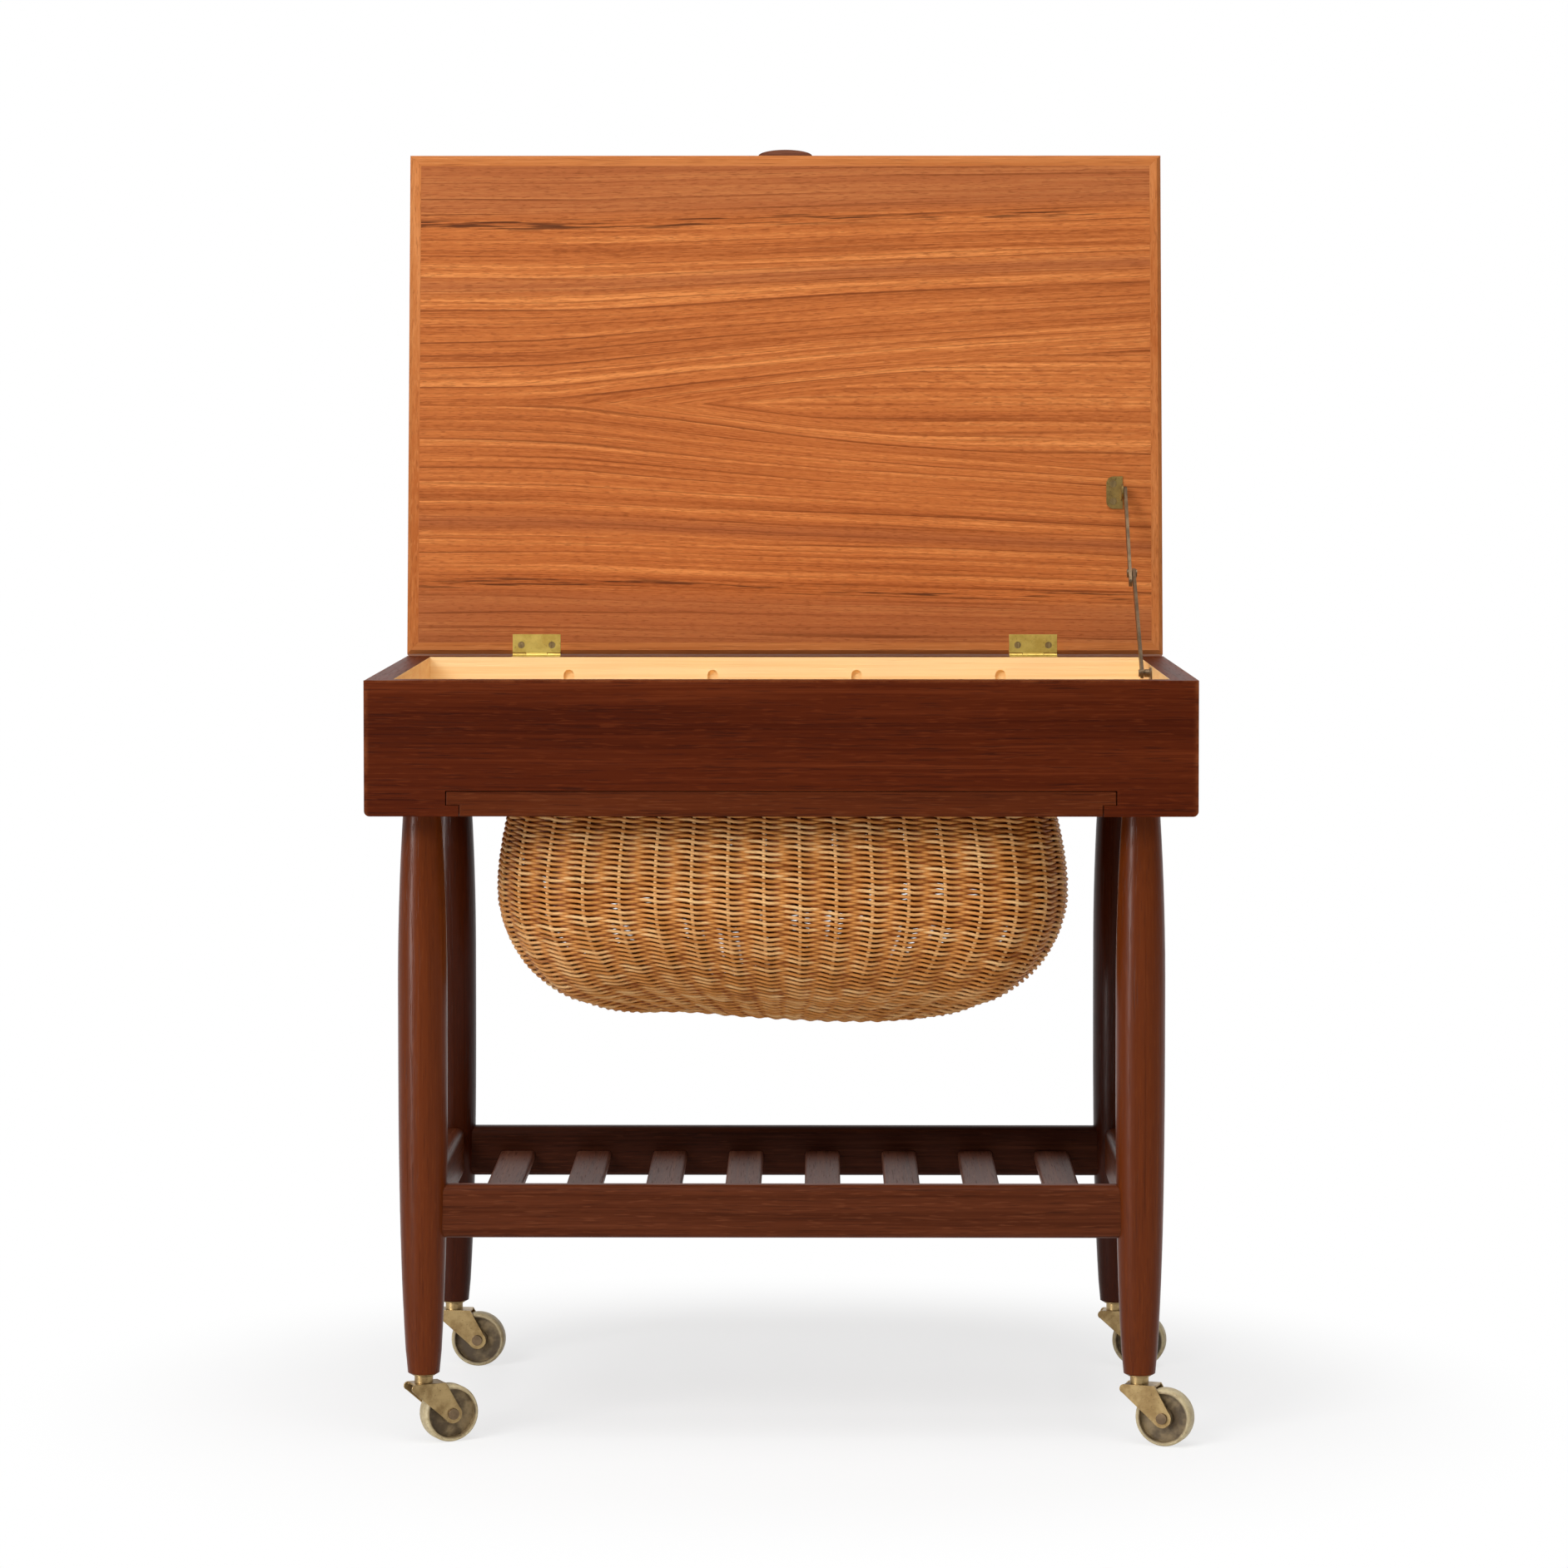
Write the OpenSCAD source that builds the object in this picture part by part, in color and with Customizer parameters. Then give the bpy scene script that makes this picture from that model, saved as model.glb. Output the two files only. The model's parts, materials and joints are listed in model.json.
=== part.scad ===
// Sewing trolley: a lidded box on turned legs with a pull-out woven basket, a slatted shelf and four casters.
// Millimetres. The floor is z = 0, the front faces -y and the right side is +x.
// The lid stands open, as at rest.

/* [Box] */
// width of the box
box_width = 600; // [520:10:680]
// depth of the box
box_depth = 400; // [360:10:460]
// height of the box sides
box_height = 98; // [90:1:130]
// thickness of the four box panels
panel_thickness = 20; // [16:1:22]
// radius of the lower outer edges of the box
box_edge_radius = 4; // [1:0.5:6]
// thickness of the board under the compartments
floor_thickness = 5; // [4:0.5:7]
// thickness of the dividers
divider_thickness = 8; // [5:0.5:10]
// distance from the rim down to the dividers
divider_drop = 21; // [16:1:30]
// distance from the rim down to the top of the divider grooves
groove_drop = 10; // [6:0.5:14]
// depth of the divider grooves
groove_depth = 4; // [2:0.5:6]

/* [Lid] */
// thickness of the lid
lid_thickness = 17; // [14:0.5:22]
// width of the strips around the lid panel
lipping_width = 9; // [6:0.5:14]
// bevel on the lower outer edges of the strips
lipping_bevel = 3; // [1:0.5:5]
// angle between the closed lid and the open lid
lid_open_angle = 97; // [92:0.5:105]
// space between the closed lid and the rim
lid_gap = 0.5; // [0.4:0.1:1]
// width of the finger pull
pull_width = 43; // [30:1:60]
// distance that the finger pull stands out
pull_reach = 5; // [3:0.5:8]

/* [Hinges] */
// length of a hinge along its pin
hinge_length = 38; // [30:1:50]
// width of one hinge leaf
leaf_width = 17; // [14:0.5:18]
// thickness of a hinge leaf
leaf_thickness = 1.2; // [1:0.1:1.6]
// radius of the hinge knuckles
knuckle_radius = 2; // [1.8:0.1:2.4]
// distance from the middle of the lid to a hinge
hinge_x = 197; // [150:1:220]

/* [Lid stay] */
// length of the upper arm between its pivots
upper_arm_length = 92; // [91:0.25:93.5]
// bend of the elbow when the lid is open
elbow_bend = 10; // [8:0.5:12]
// width of the two arms
arm_width = 8; // [7:0.5:9]
// thickness of the two arms
arm_thickness = 2.4; // [2:0.1:2.6]
// distance from the hinge pin to the pivot on the lid
lid_pivot_reach = 130; // [128:0.5:132]

/* [Legs] */
// length of a leg
leg_length = 410; // [370:5:450]
// distance from a box side to the middle of a leg
leg_inset = 39; // [36:1:44]
// radius of a leg at its top
leg_top_radius = 13.9; // [12:0.1:15]
// largest radius of a leg
leg_belly_radius = 18; // [16.5:0.1:19]
// radius of a leg at its foot
leg_foot_radius = 12; // [11:0.1:14]
// height of the largest radius as a share of the leg
leg_belly_share = 0.69; // [0.6:0.01:0.75]

/* [Shelf] */
// height of the underside of the shelf rails over the floor
shelf_height = 151.2; // [130:0.2:180]
// height of a shelf rail
rail_height = 38.8; // [34:0.2:44]
// thickness of a shelf rail
rail_thickness = 18; // [15:0.5:20]
// distance from the top of the rails down to the slats
slat_drop = 19; // [14:0.5:22]
// width of a slat
slat_width = 27; // [20:1:34]
// thickness of a slat
slat_thickness = 8; // [6:0.5:9]
// distance from the middle of a leg to the nearest slat
slat_margin = 51; // [44:1:60]

/* [Basket] */
// height of the basket frame
frame_height = 18; // [16:0.5:20]
// height of the lower step of the basket frame
frame_step = 8; // [6:0.5:9]
// distance that the upper part of the frame stands out past its lower part
frame_flange = 9.5; // [7:0.5:11]
// thickness of the rails and runners of the frame
frame_thickness = 18; // [15:0.5:20]
// distance from the box underside down to the basket underside
basket_drop = 165; // [150:1:175]
// largest swell of the basket wall past its narrow top
basket_swell = 8.7; // [6:0.1:12]
// depth of the bowl below the basket wall
basket_round = 18; // [12:0.5:22]
// thickness of the basket wall
basket_wall = 4.5; // [4:0.25:6]
// number of upright stakes in each quarter of the basket wall
quarter_stakes = 13; // [9:1:15]
// width of the rib that the weave makes over a stake
rib_width = 11; // [8:0.5:13]
// height of those ribs
rib_height = 1.5; // [0.8:0.1:2]
// play between the basket frame and the box
frame_play = 0.5; // [0.4:0.1:0.9]

/* [Casters] */
// height of a caster from the floor to the leg
caster_height = 51; // [50:0.5:56]
// diameter of a wheel
wheel_diameter = 42; // [38:1:43]
// width of a wheel
wheel_width = 14; // [12:0.5:15]
// distance from the swivel axis to the axle
caster_trail = 19.5; // [18:0.5:21]
// direction of the front left caster
turn_front_left = 25; // [-180:5:180]
// direction of the front right caster
turn_front_right = -20; // [-180:5:180]
// direction of the back left caster
turn_back_left = -5; // [-180:5:180]
// direction of the back right caster
turn_back_right = -10; // [-180:5:180]

/* [Hidden] */
$fn = 64;

// colours of the materials
teak = [0.45, 0.22, 0.12];
lid_teak = [0.72, 0.42, 0.22];
birch = [0.93, 0.76, 0.5];
brass = [0.72, 0.58, 0.3];
cane = [0.74, 0.52, 0.28];
cream = [0.8, 0.72, 0.56];

// the glue and running fits
glue_fit = 0.1;
run_fit = 0.08;

// heights
base_z = caster_height + leg_length;
rim_z = base_z + box_height;
lid_z = rim_z + lid_gap;
pull_steps = 24;
frame_top_z = base_z + frame_height;
board_z = frame_top_z + frame_play;
inside_z = board_z + floor_thickness;

// half sizes of the box outside and inside
half_w = box_width / 2;
half_d = box_depth / 2;
in_w = half_w - panel_thickness;
in_d = half_d - panel_thickness;

// the basket frame and its channel
bearer_width = 39;
frame_back_space = 5;
flange_x = in_w - bearer_width;
body_x = flange_x - frame_flange;
opening_x = body_x - frame_thickness;
frame_front_y = -half_d;
frame_back_y = in_d - frame_back_space;
opening_front_y = frame_front_y + panel_thickness;
opening_back_y = frame_back_y - frame_thickness;

// the legs
leg_x = half_w - leg_inset;
leg_y = half_d - leg_inset;
belly_h = leg_length * leg_belly_share;
leg_tenon_radius = 7;
leg_tenon_length = 12;
leg_rings = 24;

// the shelf
rail_corner = 6;
rail_end = 8;
rail_tenon_radius = 5;
rail_tenon_end = 6;
rail_tenon_start = 24;
slat_corner = 2.5;
slat_tenon = 6;
slat_count = 8;
slat_pitch = 2 * (leg_x - slat_margin) / (slat_count - 1);
slat_z = shelf_height + rail_height - slat_drop - slat_thickness;

// the dividers
divider_count = 4;
divider_pitch = (2 * in_w + divider_thickness) / (divider_count + 1);

// the hinge pin
pin_offset = 1.5;
pin_y = half_d + pin_offset;
pin_z = rim_z + lid_gap / 2;
pin_radius = 1;
knuckle_gap = 0.3;
outer_knuckle = hinge_length * 0.275;
screw_head_radius = 2.6;
screw_shank_radius = 1.2;
screw_length = 10;
screw_spread = hinge_length * 0.32;

// the lid stay, in the plane of y and z
ear_inset = 13;
ear_x = in_w - ear_inset;
ear_thickness = 1.5;
arm_gap = 0.4;
elbow_gap = 0.5;
upper_x = ear_x + ear_thickness + arm_gap;
lower_x = upper_x + arm_thickness + elbow_gap;
pivot_radius = 2;
lid_pivot_drop = 8.8;
wall_pivot_reach = 170;
wall_pivot_drop = 5.5;
lid_pivot = turned_with_lid([pin_y - lid_pivot_reach, pin_z - lid_pivot_drop]);
wall_pivot = [half_d - wall_pivot_reach, rim_z - wall_pivot_drop];
stay_span = norm(lid_pivot - wall_pivot);
bent_reach = upper_arm_length * cos(elbow_bend);
lower_arm_length = sqrt(bent_reach * bent_reach - upper_arm_length * upper_arm_length + stay_span * stay_span)
    - bent_reach;
span_angle = atan2(lid_pivot[1] - wall_pivot[1], lid_pivot[0] - wall_pivot[0]);
lower_arm_angle = span_angle - acos(
    (lower_arm_length * lower_arm_length + stay_span * stay_span - upper_arm_length * upper_arm_length)
    / (2 * lower_arm_length * stay_span)
);
elbow = wall_pivot + lower_arm_length * [cos(lower_arm_angle), sin(lower_arm_angle)];
upper_arm_angle = atan2(elbow[1] - lid_pivot[1], elbow[0] - lid_pivot[0]);

// the casters
wheel_radius = wheel_diameter / 2;
wheel_recess = 4.5;
wheel_rim = 3.2;
wheel_hub_radius = 7.5;
axle_radius = 2.5;
axle_cut = 3 * wheel_width;
sheet = 1.6;
fork_half = wheel_width / 2 + 0.5;
fork_top_z = wheel_diameter + 2.4;
fork_front = -12.5;
fork_back = 14;
fork_eye = 7;
fork_nose = 3.2;
neck_radius = 6.8;
stem_radius = 4;
stem_length = 26;
socket_radius = 6;
socket_flange = 1;

// the basket wall: how far each height stands out past the core, from the border down to the bottom
basket_z = base_z - basket_drop;
basket_y = (opening_front_y + opening_back_y) / 2;
border_gap = 0.4;
border_reach = 66;
border_width = 16;
border_drop = 2;
core_x = opening_x - border_gap - border_reach;
core_y = (opening_back_y - opening_front_y) / 2 - border_gap - border_reach;
neck_inset = 11.5;
neck_reach = border_reach - neck_inset;
wall_top_z = base_z - 1;
wall_depth = wall_top_z - basket_z - basket_round;
wall_belly = 0.41;
wall_steps = 16;
rib_steps = wall_steps - 3;
rib_root = 1;
bowl_run = 55;
bowl_steps = 4;
bowl_lap = 0.5;

function turned_with_lid(p) = [
    pin_y + (p[0] - pin_y) * cos(lid_open_angle) + (p[1] - pin_z) * sin(lid_open_angle),
    pin_z - (p[0] - pin_y) * sin(lid_open_angle) + (p[1] - pin_z) * cos(lid_open_angle)
];

// radius of a leg at a height over its foot
function leg_radius(h) = h > belly_h
    ? leg_belly_radius - (leg_belly_radius - leg_top_radius) * pow((h - belly_h) / (leg_length - belly_h), 2)
    : leg_belly_radius - (leg_belly_radius - leg_foot_radius) * pow((belly_h - h) / belly_h, 3.4);

// a stake's distance along a quarter of the basket, from the middle of a side round the corner to the front or back
widest_reach = neck_reach + basket_swell;
corner_run = widest_reach * PI / 2;
function stake_run(i) = (i + 0.5) * (core_x + core_y + corner_run) / quarter_stakes;

// outward reach of the basket wall, with t from 0 at the box underside to 1 at the bowl
function wall_reach(t) = t < wall_belly
    ? neck_reach + basket_swell * sin(90 * t / wall_belly)
    : (neck_reach + basket_swell) * pow(max(0, 1 - pow((t - wall_belly) / (1 - wall_belly), 2)), 0.75);

// points of the basket wall from top to bottom, moved inward by d
function wall_line(d) = [
    for (i = [0 : wall_steps])
        let (t = sin(90 * i / wall_steps))
        [max(wall_reach(t) - d, 0), wall_top_z - (wall_depth - d) * t]
];

function reversed(list) = [for (i = [len(list) - 1 : -1 : 0]) list[i]];

// the tangent point on a circle, seen from p, on the side given by s
function tangent_point(p, centre, r, s) =
    let (v = centre - p, l = norm(v), a = atan2(v[1], v[0]) + s * asin(r / l))
    p + sqrt(l * l - r * r) * [cos(a), sin(a)];

// shapes that repeat

module rounded_rect(w, h, r) {
    translate([r, 0]) square([w - 2 * r, h]);
    translate([0, r]) square([w, h - 2 * r]);
    for (x = [r, w - r], y = [r, h - r]) translate([x, y]) circle(r);
}

// the drawing's x and y become y and z, and its height runs along x from x0
module along_x(x0, length) {
    translate([x0, 0, 0]) rotate([90, 0, 90]) linear_extrude(length) children();
}

// the drawing's x and y become x and z, and its height runs along y from y0
module along_y(y0, length) {
    translate([0, y0 + length, 0]) rotate([90, 0, 0]) linear_extrude(length) children();
}

module x_cylinder(x0, p, length, r) {
    translate([x0, p[0], p[1]]) rotate([0, 90, 0]) cylinder(h = length, r = r);
}

module with_lid() {
    translate([0, pin_y, pin_z]) rotate([-lid_open_angle, 0, 0]) translate([0, -pin_y, -pin_z]) children();
}

// a slotted screw with its head on z = 0 and its shank below
module screw() {
    difference() {
        translate([0, 0, -leaf_thickness]) cylinder(h = leaf_thickness, r = screw_head_radius);
        translate([-0.35, -3, -0.5]) cube([0.7, 6, 1]);
    }
    translate([0, 0, -screw_length]) cylinder(h = screw_length - leaf_thickness, r = screw_shank_radius);
}

module screw_hole() {
    translate([0, 0, -screw_length - 0.5]) cylinder(h = screw_length, r = screw_shank_radius + glue_fit);
}

// the box

module box_outline(half) {
    translate([-half, base_z]) {
        translate([0, box_edge_radius]) square([2 * half, box_height - box_edge_radius]);
        translate([box_edge_radius, 0]) square([2 * half - 2 * box_edge_radius, box_height / 2]);
        for (x = [box_edge_radius, 2 * half - box_edge_radius]) {
            translate([x, box_edge_radius]) circle(box_edge_radius);
        }
    }
}

module mitred(points) {
    translate([0, 0, base_z - 1]) linear_extrude(box_height + 2) polygon(points);
}

module frame_channel() {
    along_y(-half_d - 1, panel_thickness + 2) {
        translate([-flange_x - frame_play, base_z + frame_step]) {
            square([2 * flange_x + 2 * frame_play, frame_height - frame_step + frame_play]);
        }
        translate([-body_x - frame_play, base_z - 1]) {
            square([2 * body_x + 2 * frame_play, frame_step + 2]);
        }
    }
}

module grooves(y0) {
    r = divider_thickness / 2 + glue_fit;
    along_y(y0, groove_depth) {
        for (i = [0 : divider_count - 1]) {
            translate([(i - (divider_count - 1) / 2) * divider_pitch, 0]) {
                translate([-r, inside_z]) square([2 * r, box_height - groove_drop - r - (inside_z - base_z)]);
                translate([0, rim_z - groove_drop - r]) circle(r);
            }
        }
    }
}

module front_panel() {
    color(teak) difference() {
        intersection() {
            along_y(-half_d, panel_thickness) box_outline(half_w);
            mitred([[-half_w, -half_d], [half_w, -half_d], [in_w, -in_d], [-in_w, -in_d]]);
        }
        frame_channel();
        grooves(-in_d - groove_depth);
    }
}

module back_panel() {
    color(teak) difference() {
        intersection() {
            along_y(in_d, panel_thickness) box_outline(half_w);
            mitred([[-half_w, half_d], [half_w, half_d], [in_w, in_d], [-in_w, in_d]]);
        }
        grooves(in_d);
        hinge_recess(-leaf_thickness);
        at_box_screws() screw_hole();
    }
}

module side_panel(s) {
    intersection() {
        along_y(-half_d, box_depth) box_outline(half_w);
        mitred([[s * half_w, -half_d], [s * half_w, half_d], [s * in_w, in_d], [s * in_w, -in_d]]);
    }
}

module left_panel() {
    color(teak) side_panel(-1);
}

module right_panel() {
    color(teak) difference() {
        side_panel(1);
        at_wall_screws() screw_hole();
    }
}

module bottom_board() {
    color(birch) translate([-in_w, -in_d, board_z]) cube([2 * in_w, 2 * in_d, floor_thickness]);
}

module bearer(s) {
    difference() {
        along_y(-in_d, 2 * in_d) polygon([
            [s * in_w, base_z],
            [s * (body_x + frame_play), base_z],
            [s * (body_x + frame_play), base_z + frame_step - 0.3],
            [s * (flange_x + frame_play), base_z + frame_step - 0.3],
            [s * (flange_x + frame_play), board_z],
            [s * in_w, board_z]
        ]);
        for (y = [-leg_y, leg_y]) translate([s * leg_x, y, base_z - 1]) {
            cylinder(h = leg_tenon_length + 1.5, r = leg_tenon_radius + glue_fit);
        }
    }
}

module left_bearer() {
    color(teak) bearer(-1);
}

module right_bearer() {
    color(teak) bearer(1);
}

module dividers() {
    length = 2 * in_d + 2 * groove_depth - 1;
    color(birch) for (i = [0 : divider_count - 1]) {
        translate([(i - (divider_count - 1) / 2) * divider_pitch - divider_thickness / 2, -length / 2, inside_z]) {
            cube([divider_thickness, length, rim_z - divider_drop - inside_z]);
        }
    }
}

// the legs and the shelf

module leg_body(grow) {
    ring = [for (i = [0 : leg_rings]) let (h = leg_length * i / leg_rings) [leg_radius(h) + grow, h]];
    translate([0, 0, caster_height]) rotate_extrude() polygon(concat(
        [[0, 0], [leg_foot_radius + grow - 2, 0], [leg_foot_radius + grow - 0.4, 1]],
        [for (i = [1 : leg_rings]) ring[i]],
        [[0, leg_length]]
    ));
}

module leg(sx, sy) {
    translate([sx * leg_x, sy * leg_y, 0]) difference() {
        union() {
            leg_body(0);
            translate([0, 0, base_z - 1]) cylinder(h = leg_tenon_length + 1, r = leg_tenon_radius);
        }
        translate([0, 0, caster_height - 1]) cylinder(h = stem_length + 6, r = socket_radius + glue_fit);
        tenon_hole([-sx, 0]);
        tenon_hole([0, -sy]);
    }
}

// a bore for a rail tenon, toward the direction d
module tenon_hole(d) {
    translate([0, 0, shelf_height + rail_height / 2]) rotate([90, 0, 90 + atan2(d[1], d[0])]) {
        translate([0, 0, rail_tenon_end - 1]) {
            cylinder(h = rail_tenon_start - rail_tenon_end + 2, r = rail_tenon_radius + glue_fit);
        }
    }
}

module leg_front_left() {
    color(teak) leg(-1, -1);
}

module leg_front_right() {
    color(teak) leg(1, -1);
}

module leg_back_left() {
    color(teak) leg(-1, 1);
}

module leg_back_right() {
    color(teak) leg(1, 1);
}

// a rail that lies along x between two legs, with its middle on x = 0 and y = 0
module shelf_rail(half_span) {
    rail_z = shelf_height + rail_height / 2;
    difference() {
        along_x(-half_span + rail_end, 2 * (half_span - rail_end)) {
            translate([-rail_thickness / 2, shelf_height]) rounded_rect(rail_thickness, rail_height, rail_corner);
        }
        for (s = [-1, 1]) translate([s * half_span, 0, 0]) leg_body(glue_fit);
    }
    for (x0 = [half_span - rail_tenon_start, rail_tenon_end - half_span]) {
        x_cylinder(x0, [0, rail_z], rail_tenon_start - rail_tenon_end, rail_tenon_radius);
    }
}

// pockets for the slat tenons in a rail along x, on the side given by s
module slat_pockets(s) {
    for (i = [0 : slat_count - 1]) {
        translate([(i - (slat_count - 1) / 2) * slat_pitch, 0, 0]) {
            along_y(s > 0 ? rail_thickness / 2 - slat_tenon - 0.3 : -rail_thickness / 2 - 1, slat_tenon + 1.3) {
                translate([-slat_width / 2 - glue_fit, slat_z - glue_fit]) {
                    rounded_rect(slat_width + 2 * glue_fit, slat_thickness + 2 * glue_fit, slat_corner);
                }
            }
        }
    }
}

module shelf_front_rail() {
    color(teak) translate([0, -leg_y, 0]) difference() {
        shelf_rail(leg_x);
        slat_pockets(1);
    }
}

module shelf_back_rail() {
    color(teak) translate([0, leg_y, 0]) difference() {
        shelf_rail(leg_x);
        slat_pockets(-1);
    }
}

module shelf_left_rail() {
    color(teak) translate([-leg_x, 0, 0]) rotate([0, 0, 90]) shelf_rail(leg_y);
}

module shelf_right_rail() {
    color(teak) translate([leg_x, 0, 0]) rotate([0, 0, 90]) shelf_rail(leg_y);
}

module slat(i) {
    half = leg_y - rail_thickness / 2 + slat_tenon;
    color(teak) translate([(i - (slat_count + 1) / 2) * slat_pitch - slat_width / 2, 0, 0]) {
        along_y(-half, 2 * half) translate([0, slat_z]) rounded_rect(slat_width, slat_thickness, slat_corner);
    }
}

module slat_1() {
    slat(1);
}

module slat_2() {
    slat(2);
}

module slat_3() {
    slat(3);
}

module slat_4() {
    slat(4);
}

module slat_5() {
    slat(5);
}

module slat_6() {
    slat(6);
}

module slat_7() {
    slat(7);
}

module slat_8() {
    slat(8);
}

// the hinges

// room for the leaves, from the rim down for the box and from the lid up for the lid
module hinge_recess(h) {
    z0 = h < 0 ? rim_z + h - 0.05 : lid_z - 1;
    for (x = [-hinge_x, hinge_x]) {
        translate([x - hinge_length / 2 - glue_fit, pin_y - leaf_width - glue_fit, z0]) {
            cube([hinge_length + 2 * glue_fit, leaf_width + 5, abs(h) + 1.05]);
        }
        x_cylinder(x - hinge_length / 2 - glue_fit, [pin_y, pin_z], hinge_length + 2 * glue_fit, knuckle_radius + 0.4);
    }
}

module at_box_screws() {
    for (x = [-hinge_x, hinge_x], s = [-1, 1]) {
        translate([x + s * screw_spread, pin_y - leaf_width * 0.5, rim_z]) children();
    }
}

module at_lid_screws() {
    for (x = [-hinge_x, hinge_x], s = [-1, 1]) {
        translate([x + s * screw_spread, pin_y - leaf_width * 0.5, lid_z]) rotate([180, 0, 0]) children();
    }
}

module at_wall_screws() {
    for (d = [-6, 6]) translate([in_w - leaf_thickness, wall_pivot[0] + d, wall_pivot[1] - 11]) {
        rotate([0, -90, 0]) children();
    }
}

module at_lid_bracket_screws() {
    for (d = [-7, 7]) translate([ear_x - 6, pin_y - lid_pivot_reach + d, lid_z - leaf_thickness]) {
        rotate([180, 0, 0]) children();
    }
}

module knuckle(x0, length) {
    x_cylinder(x0, [pin_y, pin_z], length, knuckle_radius);
}

module hinge_box_leaves() {
    color(brass) difference() {
        for (x = [-hinge_x, hinge_x]) {
            translate([x - hinge_length / 2, pin_y - leaf_width, rim_z - leaf_thickness]) {
                cube([hinge_length, leaf_width - knuckle_radius - 0.5, leaf_thickness]);
            }
            for (x0 = [x - hinge_length / 2, x + hinge_length / 2 - outer_knuckle]) {
                translate([x0, pin_y - knuckle_radius - 0.6, rim_z - leaf_thickness]) {
                    cube([outer_knuckle, knuckle_radius + 0.6, leaf_thickness]);
                }
                knuckle(x0, outer_knuckle);
            }
        }
        hinge_bores();
        at_box_screws() translate([0, 0, -5]) cylinder(h = 10, r = screw_head_radius + glue_fit);
    }
}

module hinge_lid_leaves() {
    middle = hinge_length - 2 * outer_knuckle - 2 * knuckle_gap;
    color(brass) with_lid() difference() {
        for (x = [-hinge_x, hinge_x]) {
            translate([x - hinge_length / 2, pin_y - leaf_width, lid_z]) {
                cube([hinge_length, leaf_width - knuckle_radius - 0.5, leaf_thickness]);
            }
            translate([x - middle / 2, pin_y - knuckle_radius - 0.6, lid_z]) {
                cube([middle, knuckle_radius + 0.6, leaf_thickness]);
            }
            knuckle(x - middle / 2, middle);
        }
        hinge_bores();
        at_lid_screws() translate([0, 0, -5]) cylinder(h = 10, r = screw_head_radius + glue_fit);
    }
}

module hinge_bores() {
    for (x = [-hinge_x, hinge_x]) {
        x_cylinder(x - hinge_length, [pin_y, pin_z], 2 * hinge_length, pin_radius + run_fit);
    }
}

module hinge_pins() {
    color(brass) for (x = [-hinge_x, hinge_x]) {
        x_cylinder(x - hinge_length / 2, [pin_y, pin_z], hinge_length, pin_radius);
    }
}

module box_screws() {
    color(brass) {
        at_box_screws() screw();
        at_wall_screws() screw();
    }
}

module lid_screws() {
    color(brass) with_lid() {
        at_lid_screws() screw();
        at_lid_bracket_screws() screw();
    }
}

// the lid, drawn closed and turned open

module lipping(points) {
    intersection() {
        translate([0, 0, lid_z]) linear_extrude(lid_thickness) polygon(points);
        lid_solid();
    }
}

// the outline of the whole lid with its bevelled lower edges
module lid_solid() {
    intersection() {
        along_y(-half_d, box_depth) lid_section(half_w);
        along_x(-half_w, box_width) lid_section(half_d);
    }
}

module lid_section(half) {
    polygon([
        [-half + lipping_bevel, lid_z],
        [half - lipping_bevel, lid_z],
        [half, lid_z + lipping_bevel],
        [half, lid_z + lid_thickness - 1],
        [half - 1, lid_z + lid_thickness],
        [-half + 1, lid_z + lid_thickness],
        [-half, lid_z + lid_thickness - 1],
        [-half, lid_z + lipping_bevel]
    ]);
}

lip_w = half_w - lipping_width;
lip_d = half_d - lipping_width;

module lid_panel() {
    color(lid_teak) with_lid() difference() {
        translate([-lip_w, -lip_d, lid_z]) cube([2 * lip_w, 2 * lip_d, lid_thickness]);
        hinge_recess(leaf_thickness);
        at_lid_screws() screw_hole();
        at_lid_bracket_screws() screw_hole();
    }
}

module lid_front_lipping() {
    color(lid_teak) with_lid() {
        lipping([[-half_w, -half_d], [half_w, -half_d], [lip_w, -lip_d], [-lip_w, -lip_d]]);
    }
}

module lid_back_lipping() {
    color(lid_teak) with_lid() difference() {
        lipping([[-half_w, half_d], [half_w, half_d], [lip_w, lip_d], [-lip_w, lip_d]]);
        hinge_recess(leaf_thickness);
        at_lid_screws() screw_hole();
    }
}

module lid_left_lipping() {
    color(lid_teak) with_lid() {
        lipping([[-half_w, -half_d], [-half_w, half_d], [-lip_w, lip_d], [-lip_w, -lip_d]]);
    }
}

module lid_right_lipping() {
    color(lid_teak) with_lid() {
        lipping([[half_w, -half_d], [half_w, half_d], [lip_w, lip_d], [lip_w, -lip_d]]);
    }
}

module lid_pull() {
    edge = [
        for (i = [1 : pull_steps - 1])
            let (a = 180 * i / pull_steps)
            [-pull_width / 2 * cos(a), -pull_reach * sin(a)]
    ];
    color(teak) with_lid() translate([0, -half_d, lid_z + lipping_bevel + 1]) {
        linear_extrude(lid_thickness - lipping_bevel - 4) {
            polygon(concat([[-pull_width / 2, 0]], edge, [[pull_width / 2, 0]]));
        }
    }
}

// the lid stay

module bar(length, tail) {
    difference() {
        union() {
            translate([-tail, -arm_width / 2]) square([length + tail, arm_width]);
            translate([-tail, 0]) circle(arm_width / 2);
            translate([length, 0]) circle(arm_width / 2);
        }
        circle(pivot_radius + run_fit);
        translate([length, 0]) circle(pivot_radius + run_fit);
    }
}

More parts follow.
